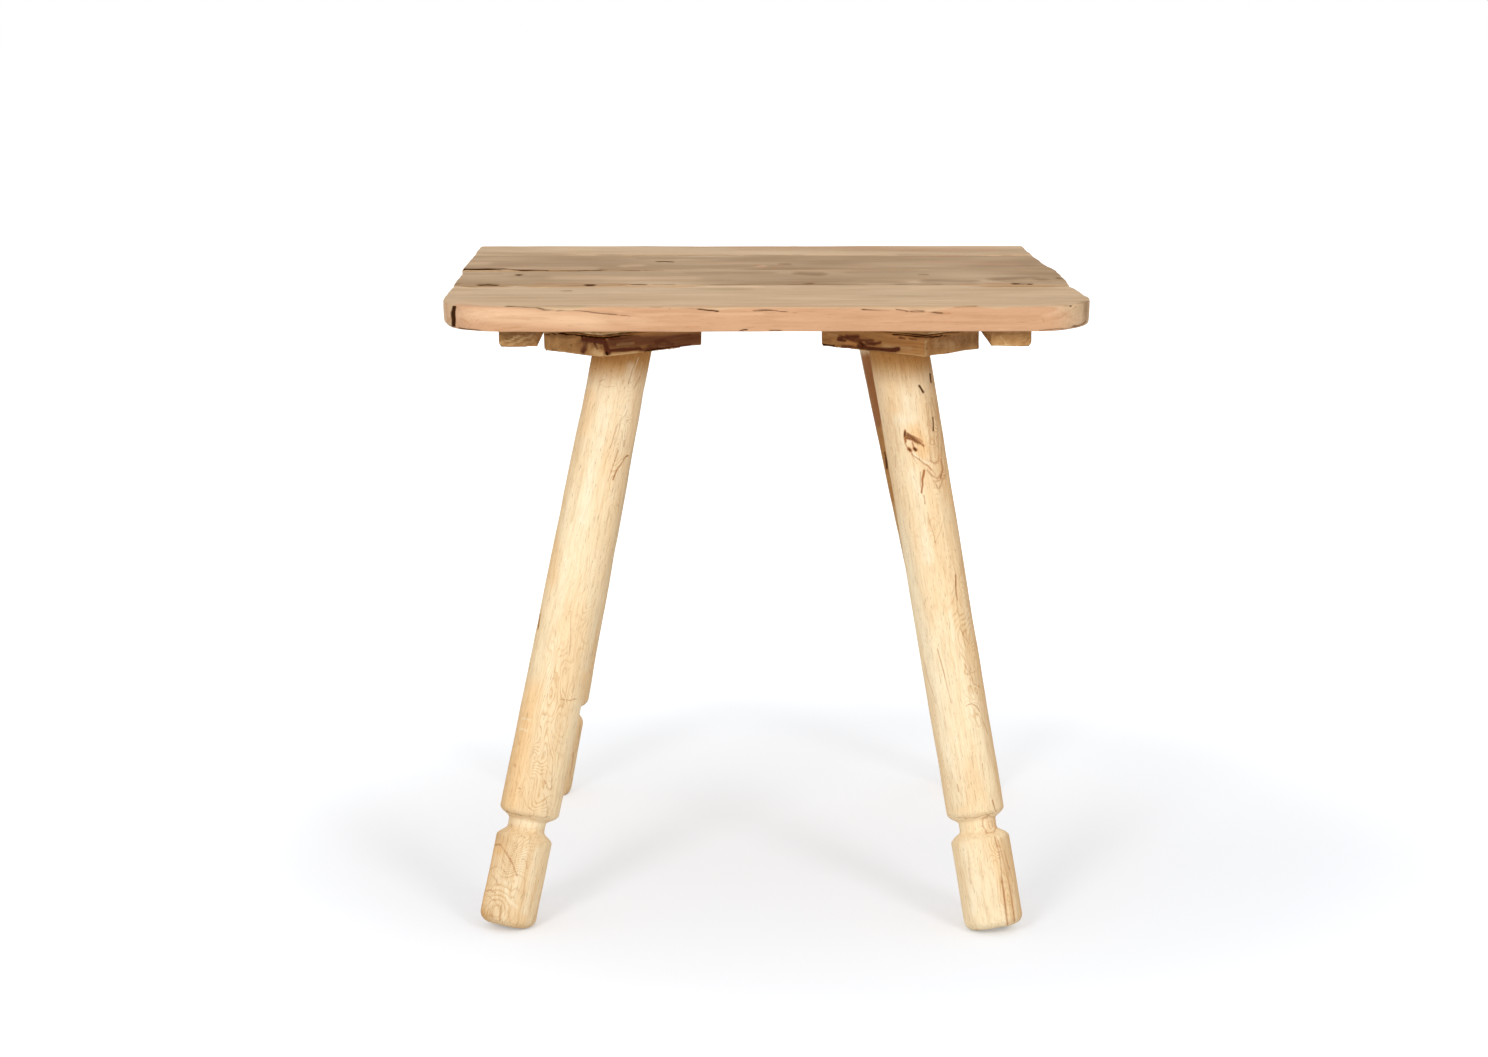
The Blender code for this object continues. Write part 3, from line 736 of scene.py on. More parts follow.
# %% Marks on the middle plank
plank_marks["middle_plank"] = {
    "shade": [
        (2.8, 1, (802, 273.4, 818, 274)), (3.5, 0.84, (1000, 279, 1030, 277, 1040, 279)),
        (2.5, 0.62, (463, 274, 500, 274)), (3, 0.78, (930, 280.5, 970, 281)),
        (3.5, 0.68, (690, 273, 740, 272.6, 770, 273)), (3, 0.66, (850, 272.4, 900, 272.6)),
        (2, 0.7, (900, 284, 975, 284)), (3, 0.64, (866, 281, 900, 282)), (2.6, 0.64, (1006, 281, 1050, 282)),
    ],
    "pale_and_light": [(3, 0.35, (560, 277, 640, 278, 690, 278))],
    "stain_and_shadow": [
        (1.4, 0.62, (537.2, 283.2, 570, 283.2, 600, 283.6, 628, 283.8)),
        (1.1, 0.6, (963, 283.6, 990, 283.3, 1013, 283.4)), (1.2, 0.5, (455, 283.4, 459, 283.6)),
    ],
    "crack_and_shadow": [
        (1.3, 1, (480, 284.8, 488, 284.4, 496, 284.6)), (1.2, 0.9, (587, 285, 592, 285)),
        (0.9, 0.5, (540, 285, 586, 285.2, 628, 285)), (0.9, 0.6, (633, 284.2, 646, 284.2)),
        (0.9, 0.55, (654, 284.2, 674, 284)), (1.4, 0.8, (519.4, 274.6)), (1.4, 0.78, (1015, 283, 1018, 283)),
        (1.2, 0.66, (1023, 283.2)), (1.2, 0.8, (1030, 283.4)), (1.5, 0.55, (805, 283.2, 811, 283)),
        (0.8, 0.5, (919, 274.4, 928, 274.4)), (1.3, 0.6, (456.6, 283.6, 459, 283.4)),
        (1.4, 0.6, (1058.4, 278, 1060, 278.4)), (1, 0.46, (700, 284.4, 860, 284.2, 940, 284)),
    ],
}

# %% Marks on the rear plank
plank_marks["rear_plank"] = {
    "shade": [
        (3.5, 0.62, (500, 262, 560, 264, 600, 265)), (2.4, 0.66, (640, 258, 700, 258, 760, 258)),
        (4.5, 0.7, (645, 267, 720, 266, 790, 266)), (2.4, 0.62, (880, 267, 960, 268)),
        (2.4, 0.6, (790, 259, 900, 260, 1000, 260)), (2.6, 0.66, (690, 271, 760, 271, 800, 272)),
    ],
    "warm": [(2.6, 0.4, (930, 262, 1010, 264)), (2.4, 0.3, (700, 262, 740, 263))],
    "pale_and_light": [
        (1.2, 0.6, (761, 265.9)), (1.6, 0.4, (640, 265, 625, 265.6)), (1.4, 0.4, (470, 263.4, 486, 263)),
        (2.4, 0.4, (985, 274, 1000, 274)), (2.6, 0.3, (490, 268, 560, 268, 590, 268)),
    ],
    "stain_and_shadow": [
        (1.1, 0.7, (755, 265, 765, 266.4)), (1.1, 0.65, (774.4, 267.3, 783, 264.6)),
        (1.2, 0.35, (840, 265, 900, 266)), (1.6, 0.4, (466, 267.6, 500, 267, 560, 268.6)),
        (1.2, 0.5, (900, 256.4, 930, 256, 960, 256)),
    ],
    "crack_and_shadow": [
        (1.5, 0.95, (463.6, 269.4, 466, 268.7, 478, 268.9, 490, 268.9, 502, 268.7)),
        (1.3, 0.8, (500, 268.5, 511, 269.2, 522, 270.1, 548, 270.3)),
        (1.2, 0.6, (546, 270.4, 580, 270.5, 600, 270, 640, 270.3)), (0.9, 0.5, (600, 268.6, 606, 269)),
        (0.9, 0.55, (644, 270.2, 664, 270.2)), (0.9, 0.45, (688, 270, 697, 270)),
        (1, 0.72, (657.8, 261.4, 664, 261, 671.7, 261.4)), (1, 0.45, (755, 265, 762, 265.4)),
        (1, 0.5, (780, 263.8, 790, 264)),
    ],
}

# %% Marks on the rear strip
plank_marks["rear_strip"] = {
    "shade": [
        (1.3, 0.55, (600, 254.8, 668, 255.4, 800, 255.6)), (1.5, 0.45, (900, 254.6, 1010, 255)),
        (3.5, 0.45, (478, 252, 520, 254, 560, 255)), (3.5, 0.4, (690, 247, 760, 248, 860, 248)),
        (5, 0.46, (850, 248, 940, 250, 1040, 251)),
    ],
    "warm": [(2.5, 0.5, (740, 247, 820, 247, 900, 249, 990, 249))],
    "stain_and_shadow": [(1.2, 0.4, (740, 246.6, 800, 246, 880, 247))],
    "crack_and_shadow": [(0.9, 0.6, (1001, 256, 1011, 256, 1028, 255.8)), (0.7, 0.35, (640, 254.6, 667, 255))],
}



def count_lines(table):
    """Prints how many lines are drawn on each piece."""
    for name, kinds in table.items():
        count = sum(len(lines) for marks in kinds.values() for _, _, *lines in marks)
        print(name, "has", count, "drawn lines")


count_lines(plank_marks)

# %% [markdown]
# ## How the planks are worn
# The planks' tops are grey with dust, which is also painted darker to stand for part of their shade, but
# their front edge was sawn freshly. Each rear edge but the last has shrunk a little below its neighbour,
# which is what makes a seam show.

# %% Wear of the planks
plank_pitch = 0.0017
plank_seeds = {"front_plank": 11, "middle_plank": 12, "rear_plank": 13, "rear_strip": 14}
# How dusty each plank's top is; this dust also paints part of the shade on the tops
dust_and_top_shade = {"front_plank": 0.33, "middle_plank": 0.567, "rear_plank": 0.587, "rear_strip": 0.25}
sawn_below, sawn_softness = 0.0032, 0.0022
seam_reach = 0.035

# Where the dusty top ends and the freshly sawn front begins, in the pixels of the camera's picture: across,
# down, and how softly one gives way to the other
front_edge_line = (
    (450, 328, 1.5), (452.5, 325, 1.5), (454.5, 303.5, 2), (462, 303, 6), (484, 305.6, 3.5),
    (511, 306.2, 2.4), (524, 306.8, 2), (538, 308.6, 2.4), (551, 310.4, 3), (573, 310.4, 3.5),
    (590, 307.4, 5), (620, 306.6, 5), (640, 307.6, 4), (668, 307.6, 3), (700, 307.6, 2.4), (718, 309.4, 3),
    (740, 307.6, 3.5), (800, 307.4, 3), (850, 308, 3), (905, 309.4, 2.4), (930, 311, 2.4), (942, 309, 3),
    (955, 306.6, 2.4), (975, 306.2, 2.4), (987, 307.3, 3), (997, 308.4, 4), (1013, 307, 4),
    (1040, 305.8, 4), (1056, 306, 8), (1070, 309, 16), (1092, 312, 24))
end_fade, end_dust = 0.75, 0.42

# How far a plank's rear edge has shrunk below the next plank, as shares of seam_step at shares of the
# plank's length
seam_step_shares = {
    "front_plank": ((0, 0.2), (0.03, 1.0), (0.08, 0.9), (0.10, 0.3), (0.13, 0.9), (0.37, 0.8), (0.41, 0.1),
                    (0.82, 0.1), (0.86, 0.9), (0.95, 1.0), (1, 0.5)),
    "middle_plank": ((0, 1.0), (0.14, 1.0), (0.20, 0.8), (0.33, 0.6), (0.38, 0.2), (1, 0.1)),
    "rear_plank": ((0, 0.1), (0.25, 0.1), (0.28, 0.5), (0.36, 0.4), (0.40, 0.1), (0.88, 0.1), (0.92, 0.7),
                   (1, 0.8)),
}
seam_step = 0.0018
print("seams step down by up to", seam_step * 1000, "mm")

# %% Worn arrises and corners
corner_length, corner_depth = 0.045, 0.09
handled_depth = 0.03
front_corner_wear = {-1: 0.0055, 1: 0.0035}
front_corner_lean = {-1: 0.0028, 1: 0.0018}


def plank_top_arris(name):
    """The radius of a plank's upper arris: worn wide along the front of the table, and small elsewhere."""
    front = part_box(name)[0].y if name == "front_plank" else -1

    def radius(rim):
        """The radius at each place on the rim."""
        worn = np.clip(1 - (rim[:, 1] - front) / handled_depth, 0, 1)
        extra = 0.0030 + 0.0008 * waves(rim, 0.06, 15)
        return 0.0009 + 0.0003 * waves(rim, 0.05, plank_seeds[name]) + worn * extra
    return radius


def step_down(name, points):
    """How far each point sinks: the drawn step, eased in towards the rear edge and down to the underside."""
    low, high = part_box(name)
    along = (points[:, 0] - low.x) / (high.x - low.x)
    step = seam_step * np.interp(along, *np.transpose(seam_step_shares[name]))
    ease = np.clip((points[:, 1] - high.y + seam_reach) / seam_reach, 0, 1)
    return step * ease ** 2 * (3 - 2 * ease) * (points[:, 2] - low.z) / (high.z - low.z)


def corner_share(places, side):
    """How near a place is to the front corner on one side: 1 at the corner and 0 away from it."""
    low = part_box("front_plank")[0]
    across = np.clip((places[:, 0] * side + low.x) / corner_length + 1, 0, 1)
    return across * np.clip(1 - (places[:, 1] - low.y) / corner_depth, 0, 1) ** 0.5


def plank_low_arris(rim):
    """The lower arris, kept nearly sharp except at the two front corners."""
    worn = sum(extra * corner_share(rim, side) for side, extra in front_corner_wear.items())
    return 0.0012 + 0.0002 * waves(rim, 0.04, 5) + worn


def lean_in(points, high, thickness):
    """Draws the front corners in towards the table's middle, more so lower down, as sanding left them."""
    down = np.clip((high - points[:, 2]) / thickness, 0, 1) ** 2
    for side, reach in front_corner_lean.items():
        points[:, 0] -= side * reach * down * corner_share(points, side)


# %% Make the planks
# Long hollows run along the grain, with finer ones on them from rough sawing
plank_dents = hollows(0.00025, (0.00012, 0.045, 0.25, 21), (0.00005, 0.009, 0.2, 22))
pith_behind, pith_below = 0.02, 0.05
ring_wander, saw_wander, dust_and_shade_clouds = 0.006, 0.0006, 0.13

for name in plank_names:
    low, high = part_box(name)
    seed = plank_seeds[name]
    edges = plank_edges(name)
    points, faces = board(edges, low.z, high.z, plank_top_arris(name), plank_low_arris, plank_pitch)
    if name == "front_plank":
        lean_in(points, high.z, high.z - low.z)
    if name in seam_step_shares:
        points[:, 2] -= step_down(name, points)
    plank = add_piece(name + "_wood", points, faces, plank_wood, "plank_wood", name)
    places, outward = read_points(plank.data)
    at_end = np.clip(np.abs(outward[:, 0]) / 0.7 - 0.35, 0, 1)
    shift = np.array([0.7 * seed, 0.31 * seed, 0])
    pith = np.array([(low.y + high.y) / 2 + pith_behind, low.z - pith_below])
    rings = np.hypot(places[:, 1] - pith[0], places[:, 2] - pith[1])
    rings += ring_wander * waves(places * (1, 3, 3), 0.25, seed + 40)
    depth = high.z - places[:, 2] + saw_wander * waves(places * (1, 0.2, 0.2), 0.05, seed + 60)
    sawn = np.clip((depth - sawn_below) / sawn_softness, 0, 1)
    if name == "front_plank":
        across, down = seen_at(places).T
        line_across, line_down, line_softness = np.transpose(front_edge_line)
        seen_below = down - np.interp(across, line_across, line_down)
        seen_below /= np.interp(across, line_across, line_softness)
        seen = facing(places, outward) > 0
        sawn[seen] = np.clip(seen_below[seen] + 0.5, 0, 1)
        at_end[seen & (across < picture_width / 2)] = 0
    sawn *= 1 - end_fade * at_end
    # Dust darkens the tops, and also paints part of their shade
    dusty_and_shaded = dust_and_top_shade[name] * (1 + dust_and_shade_clouds * waves(places * (1, 1.6, 1), 0.16, seed + 80)) * (1 - sawn)
    dusty_and_shaded = np.maximum(dusty_and_shaded, end_dust * at_end)
    worn = {"warm": sawn, "shade": dusty_and_shaded}
    age(plank, places + shift, rings, plank_marks[name], plank_dents, worn, spread=3.0)

# %% [markdown]
# ## Countersinks
# The screws are pieces of their own, and their heads lie a little below the wood's underside. A hole could
# be cut with a boolean, but the underside is already a fine grid, so its points round each screw are simply
# raised by a cone.

# %% Sink the screws
sink_radius, sink_slope, sink_depth = 0.0052, 0.0014, 0.0011
level_within = 1e-6


def sink_screws(points, low, stem):
    """Raises the points of an underside round each screw whose name starts with the stem."""
    level = np.abs(points[:, 2] - low) < level_within
    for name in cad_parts:
        if name.startswith(stem + "_screw_"):
            screw_low, screw_high = np.array(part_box(name))
            away = np.linalg.norm(points[:, :2] - (screw_low + screw_high)[:2] / 2, axis=1)
            points[:, 2] += level * sink_depth * np.clip((sink_radius - away) / sink_slope, 0, 1)


# %% [markdown]
# ## The battens
# Two boards run from front to back under the planks. Their lower outer edge is rounded, and the front ends
# show under the top.

# %% Marks on the battens
batten_marks = {}
batten_marks["left_batten"] = {
    "pale_and_light": [
        (1.3, 0.65, (500, 343, 510, 340, 520, 336)), (1.3, 0.55, (508, 345, 520, 341, 532, 335)),
        (1.2, 0.4, (524, 345, 534, 339)),
    ],
    "shade": [(2.5, 0.8, (499, 334, 536, 334)), (9, 0.5, (506, 340, 534, 342))],
    "stain_and_shadow": [(1.2, 0.5, (503, 339, 512, 338))],
}
batten_marks["right_batten"] = {
    "warm": [(8, 0.7, (998, 340, 1024, 340))],
    "pale_and_light": [(1.2, 0.8, (993, 346.2, 1022, 346.2)), (1.2, 0.5, (1000, 336, 1006, 344))],
    "shade": [(1.8, 0.6, (992, 333.5, 1028, 333.5))],
    "stain_and_shadow": [(1.6, 0.5, (1024, 343, 1028, 338))],
}

count_lines(batten_marks)

# %% Make the battens
batten_wider = {"left_batten": 0.0017, "right_batten": 0.0032}
batten_arris, batten_round, round_depth = 0.0012, 0.005, 0.006
batten_pitch, batten_pith_below, batten_figure = 0.0016, 0.03, 0.5
batten_ring_wander = 0.002


def rectangle(low_x, high_x, low_y, high_y):
    """The four drawn edges of a rectangle in plan."""
    front = np.array([(low_x, low_y), (high_x, low_y)], float)
    back = np.array([(low_x, high_y), (high_x, high_y)], float)
    left = np.array([(low_x, low_y), (low_x, high_y)], float)
    right = np.array([(high_x, low_y), (high_x, high_y)], float)
    return front, right, back, left


for name, side in (("left_batten", -1), ("right_batten", 1)):
    low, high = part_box(name)
    right_side = high.x + batten_wider[name]
    outer = low.x if side < 0 else right_side

    def low_arris(rim):
        """Wide along the outer edge, and narrow elsewhere."""
        near = np.clip(1 - np.abs(rim[:, 0] - outer) / round_depth, 0, 1)
        return batten_arris + (batten_round - batten_arris) * near

    def top_arris(rim):
        """The same narrow radius all round."""
        return np.full(len(rim), batten_arris)

    edges = rectangle(low.x, right_side, low.y, high.y)
    points, faces = board(edges, low.z, high.z, top_arris, low_arris, batten_pitch, wall_rows=9)
    sink_screws(points, low.z, name)
    batten = add_piece(name + "_wood", points, faces, batten_wood, "batten_wood", name)
    places = read_points(batten.data)[0]
    along = np.stack([places[:, 1] + side, places[:, 0], places[:, 2]], 1)
    rings = np.hypot(places[:, 0] - outer, places[:, 2] - low.z + batten_pith_below)
    rings += batten_ring_wander * waves(along * (1, 3, 3), 0.2, 60 + side)
    worn = {"figure": np.full(len(places), batten_figure)}
    age(batten, along, rings, batten_marks[name], plank_dents, worn)

# %% [markdown]
# ## The leg blocks and their pads
# A block of darker wood with some bark left in it is set across each corner, under a thinner pad. The leg's
# tenon goes up through both. The block's place is read from its solid: the middle of its box is its centre.
# Its turn is given: 45 degrees and a little more or less.

# %% Marks on the front left block
block_marks = {}
block_marks["front_left"] = {
    "shade": [
        (7, 1, (612, 342, 640, 341, 698, 338)), (5, 0.9, (650, 347, 698, 342)),
        (3, 0.5, (546, 335, 575, 337)),
    ],
    "pale_and_light": [
        (2.4, 0.9, (592, 352, 600, 354, 612, 355, 636, 353.5)), (1.6, 0.6, (592, 348, 599, 351)),
        (1.6, 0.45, (618, 344.5, 634, 343.5)), (1.5, 0.4, (660, 347, 668, 348)),
    ],
    "stain_and_shadow": [
        (2, 0.5, (552, 349, 562, 350.5), (646, 337, 690, 335)), (4.4, 1, (584, 340, 594, 340.5, 603, 341)),
        (3.4, 1, (587, 342, 585, 347, 583, 351)), (6, 0.3, (616, 342, 650, 341, 694, 338)),
        (3, 0.6, (592, 346, 602, 348)), (1.5, 1, (581.5, 336, 583, 341)), (1.8, 1, (594, 343, 597, 349)),
        (3.6, 1, (604, 340, 606.5, 347, 608, 353)), (2.2, 1, (608, 350.5, 625, 349.5, 640, 348.5)),
        (3, 0.85, (656, 343, 664, 341.5, 672, 344)), (2, 0.9, (640, 349.5, 655, 349, 690, 345)),
        (2.4, 0.8, (610, 338.5, 640, 337)), (0.9, 0.9, (571.3, 344.8)), (0.8, 0.8, (562.7, 350)),
    ],
    "crack_and_shadow": [
        (1, 1, (545, 334.3, 566.7, 333.8, 573.6, 334.6, 585, 335.8, 594, 336.9, 600, 337.6, 610, 336.4,
         624, 335.1, 633, 334), (607, 352, 608, 356)), (1.1, 0.9, (645, 351, 656, 349.8, 670, 348)),
        (0.8, 0.6, (581, 355.5, 592, 357)),
    ],
}

# %% Marks on the front right block
block_marks["front_right"] = {
    "shade": [(3, 0.5, (823, 340, 830, 341), (915, 337, 960, 337)), (10, 0.5, (940, 342, 976, 341))],
    "warm": [(3, 0.9, (845, 342, 856, 346)), (8, 0.5, (890, 341, 920, 345))],
    "pale_and_light": [
        (1.4, 0.8, (925.6, 341, 926, 355)), (1.2, 0.8, (903, 355.6, 926, 357.4, 936, 356.2)),
        (5, 0.5, (938, 344, 952, 345)), (2.5, 0.6, (884, 346, 910, 349)), (2, 0.6, (828, 335, 836, 336)),
    ],
    "stain_and_shadow": [
        (1.6, 0.8, (866, 347, 876, 349.6), (850, 347, 862, 349)),
        (2.2, 1, (839, 339, 847, 336.5, 858, 336.5)), (2.6, 1, (853, 339, 862, 340, 872, 340.4)),
        (3.6, 1, (858, 341, 864, 346)), (1.8, 1, (866, 343, 873, 343.8, 880, 342)),
        (1.4, 0.9, (838, 340, 845, 341.4)), (1.3, 0.9, (899, 337.7, 905, 338.8)),
        (1.3, 1, (910, 338.8, 916, 339.6)), (1, 0.7, (843, 344, 850, 347)),
        (1, 0.6, (839, 334.6, 858, 334.6)),
        (2.8, 1, (858, 346.6, 868, 348.2, 880, 349.4, 892, 350.2, 898, 349)), (3, 1, (846, 338.5, 856, 341)),
        (2, 0.9, (842, 346, 852, 347)),
    ],
    "crack_and_shadow": [
        (0.9, 0.9, (927, 348.8), (948.7, 353)),
        (1, 0.7, (858, 348.6, 868, 350.2, 878, 351.4, 890, 352.6, 896, 352)),
        (1.2, 1, (822.7, 344.2, 834, 346)),
        (1, 0.9, (892, 334.6, 898.5, 334.6, 913, 335.7, 926, 337.2, 937, 336.4, 948, 334.8)),
        (0.9, 0.6, (978.2, 334, 978, 348)), (1.6, 0.7, (860, 341, 862, 346)),
    ],
}

# %% Marks on the pads
pad_marks = {}
pad_marks["front_left"] = {
    "crack_and_shadow": [
        (1.1, 1, (548, 333.4, 566.7, 333, 573.6, 334, 585, 335.1, 594, 336.2, 600, 336.8, 610, 335.6,
         624, 334.3, 640, 333.2)),
    ],
    "pale_and_light": [(1.2, 0.8, (586, 333, 600, 334.4, 618, 333))],
}
pad_marks["front_right"] = {
    "crack_and_shadow": [
        (0.9, 0.9, (868, 332.8, 890, 333.2, 913, 334.6, 926, 335.9, 937, 335.1, 948, 333.6, 960, 332.6)),
    ],
    "pale_and_light": [(1.2, 0.7, (930, 333.4, 945, 332.8))],
}

count_lines(block_marks)
count_lines(pad_marks)

# %% Place and turn of a block
corner_sides = {"front_left": (-1, -1), "front_right": (1, -1), "rear_left": (-1, 1), "rear_right": (1, 1)}


def by_corner(*values):
    """One value for each corner: front left, front right, rear left and rear right."""
    return dict(zip(corner_sides, values))


block_length, block_width = 0.1335, 0.084
block_short = by_corner(0, 0.0028, 0.001, 0.002)
block_turn_degrees = by_corner(0.5, 2.0, -1.5, 1.0)


def block_frame(corner):
    """The centre of a block in plan, and the directions of its long and short sides."""
    low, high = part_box(corner + "_leg_block")
    side_x, side_y = corner_sides[corner]
    turn = math.radians(45 * side_x * side_y + block_turn_degrees[corner])
    axes = np.array([[math.cos(turn), math.sin(turn)], [-math.sin(turn), math.cos(turn)]])
    return np.array([(low.x + high.x) / 2, (low.y + high.y) / 2]), axes


print("the front left block is turned by", block_frame("front_left")[1].round(3).tolist())

# %% Make the blocks and the pads
# Rough sawn faces wander by about a third of a millimetre
block_dents = hollows(0.0003, (0.00015, 0.03, 0.4, 31), (0.00005, 0.008, 1, 32))
block_pith_behind, block_pith_below, block_figure = 0.02, 0.04, 0.6
block_ring_wander = 0.002

for corner in corner_sides:
    centre, axes = block_frame(corner)
    for suffix, material, slot, marks, arris, pitch in (
            ("_leg_block", block_wood, "block_wood", block_marks, 0.0022, 0.0013),
            ("_leg_pad", batten_wood, "block_wood", pad_marks, 0.0010, 0.0022)):
        low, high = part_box(corner + suffix)
        inner_end = block_short[corner] - block_length / 2
        edges = rectangle(inner_end, block_length / 2, -block_width / 2, block_width / 2)

        def wandering(rim):
            """An arris that wanders a little along the block."""
            return arris * (1 + 0.25 * waves(rim, 0.02, 33))

        points, faces = board(edges, low.z, high.z, wandering, wandering, pitch, wall_rows=10)
        points[:, :2] = points[:, :2] @ axes + centre
        if suffix == "_leg_block":
            sink_screws(points, low.z, corner + "_block")
        local = points.copy()
        local[:, :2] = (points[:, :2] - centre) @ axes.T
        block = add_piece(corner + suffix + "_wood", points, faces, material, slot, corner + suffix)
        grain = local + np.array([centre[0] * 9, centre[1] * 7, 0])
        rings = np.hypot(local[:, 1] + block_pith_behind, local[:, 2] - low.z + block_pith_below)
        rings += block_ring_wander * waves(local * (1, 2, 2), 0.08, 70)
        worn = {"figure": np.full(len(local), block_figure)}
        age(block, grain, rings, marks.get(corner, {}), block_dents, worn)

# %% [markdown]
# ## The legs
# Each leg was a peeled pole, turned just enough to cut the groove and round the foot. A lathe shape is a
# profile spun about an axis, so the leg is rings of points: radius and height come from the profile, and a
# little ovality and a few flats keep it from looking machined. The axis is read from the leg's solid, from
# the middle of its tenon and the middle of its block.

# %% Knots and colours of the front left leg
leg_marks = {}
leg_marks["front_left"] = {
    "knot": [
        (8, 0.007, (610, 374)), (7, 0.007, (623, 425, 616, 450)), (6, 0.005, (594, 578, 592, 606)),
        (14, 0.008, (548, 722)), (12, 0.008, (536, 760)), (13, 0.009, (512, 848, 508, 860)),
        (26, 0.011, (482, 912)), (8, 0.005, (574, 676, 572, 690)), (9, 0.006, (532, 862)),
    ],
    "shade": [
        (2.5, 0.3, (588, 440, 580, 480, 572, 520)), (6, 0.1, (632, 400, 627, 440, 619, 480)),
        (3, 0.4, (540, 612, 537, 630)),
    ],
    "warm": [
        (9, 0.45, (590, 394, 588, 410, 584, 430)), (8, 0.4, (556, 545, 552, 580)),
        (13, 0.6, (532, 690, 522, 740, 512, 800)), (12, 0.7, (494, 850, 486, 900)),
        (7, 0.5, (586, 676, 582, 698)),
    ],
    "pale_and_light": [
        (7, 0.6, (606, 410, 600, 440, 590, 480, 582, 520)), (5, 0.4, (566, 560, 560, 600)),
        (0.9, 0.5, (638.8, 357.7, 633.5, 375, 629, 388)), (0.9, 0.4, (626, 374, 618, 386)),
        (0.8, 0.4, (642, 362, 636, 388)), (6, 0.35, (556, 640, 548, 690)), (1, 0.7, (522, 718, 530, 720)),
        (1, 0.6, (520, 729, 527, 731)), (4, 0.4, (524, 850, 514, 900)), (1.2, 0.5, (620, 468, 612, 500)),
        # The first stroke below paints light on the upper right side of the leg, which the block leaves lit.
        (6, 0.45, (631, 366, 629, 400, 622, 450)), (5, 0.45, (538, 850, 532, 880, 525, 912)),
        (9, 0.4, (498, 860, 490, 905)), (2.2, 0.5, (505, 882, 507, 893, 511, 903, 517, 907)),
        (6, 0.5, (506, 820, 530, 824, 542, 824)),
    ],
    "figure": [
        (16, 1, (556, 690, 546, 740, 538, 800)), (24, 0.8, (514, 840, 504, 880, 498, 912)),
        (14, 0.8, (560, 650, 552, 700)), (10, 0.6, (520, 740, 512, 790)),
        (7, 0.8, (624, 420, 616, 460, 610, 490)), (10, 0.5, (590, 560, 584, 620, 576, 660)),
    ],
}

# %% Stains and cracks on the front left leg
leg_marks["front_left"] |= {
    "stain_and_shadow": [
        (0.8, 0.5, (628, 409, 622, 422, 617, 436, 613, 452), (601, 385, 607, 387.4, 614, 386),
         (553, 765, 551, 790), (520, 790, 527, 805, 535, 814), (543, 792, 547, 802, 547, 815),
         (501, 918, 502, 923)), (0.8, 0.4, (604, 500, 599, 530, 594, 560), (610, 505, 605, 535),
         (564, 640, 563, 690), (559, 745, 557, 772), (537, 852, 533, 890, 530, 916), (512, 880, 508, 905)),
        (0.9, 0.6, (626.6, 421, 629, 418), (640, 376, 634, 388), (599.8, 381.4, 604, 380.2),
         (515, 764, 516, 767)), (0.8, 0.6, (624, 440, 623.5, 447), (637, 361, 632, 370, 628, 384),
         (553, 678, 554, 682), (533, 812, 533.6, 817)), (1, 0.4, (530, 896, 528, 918), (526, 880, 524, 896),
         (508, 912, 509, 920), (515, 912, 516, 923)), (1.2, 0.5, (490, 869, 495, 866.6, 501, 867.6, 506, 873),
         (488, 897, 494, 900, 498, 906, 500, 913, 499.6, 922), (523, 858, 526, 862, 527.6, 869)),
        (0.8, 0.65, (556.5, 674, 557, 688), (560, 700.4, 570, 699.8, 576, 699.4)),
        (0.9, 0.7, (544.6, 780, 545.6, 784), (518, 787.6, 520, 789)),
        (0.9, 0.65, (625, 415, 616.6, 426.5, 612, 442.6, 609.7, 448)),
        (0.9, 0.55, (619, 450, 613.6, 464.8, 608, 482)),
        (0.9, 0.75, (628.5, 455, 624, 459.4, 618, 467.8, 613, 480)), (0.9, 0.4, (596, 462, 592, 490)),
        (1, 0.8, (540.5, 614, 537.6, 629)), (0.7, 0.55, (570.6, 610, 571, 632, 569.6, 656)),
        (0.8, 0.45, (528, 850, 525, 880, 521, 910)),
        (1.3, 0.66, (494, 845, 499, 844, 503, 848, 507, 854, 511, 861, 514, 868, 517, 876)),
        (1.2, 0.46, (497, 851, 502, 858, 505, 865)), (1.2, 0.52, (492, 876, 496, 880, 498.4, 886)),
        (1.3, 0.6, (485, 891, 491, 890.4, 495, 892.6)), (1.1, 0.45, (489, 908, 491, 916)),
        (1.3, 0.5, (509, 841.6)),
    ],
    "crack_and_shadow": [
        (0.8, 0.5, (611.6, 368.4), (603, 372.6), (619, 366),
         (506, 811, 515, 814.5, 530, 817.2, 545, 817.8, 550, 816.8)), (1, 0.6, (595, 368.4)),
        (0.8, 0.45, (628.5, 455.5, 624, 459.4)), (0.9, 0.6, (539, 618, 538, 627)),
    ],
}

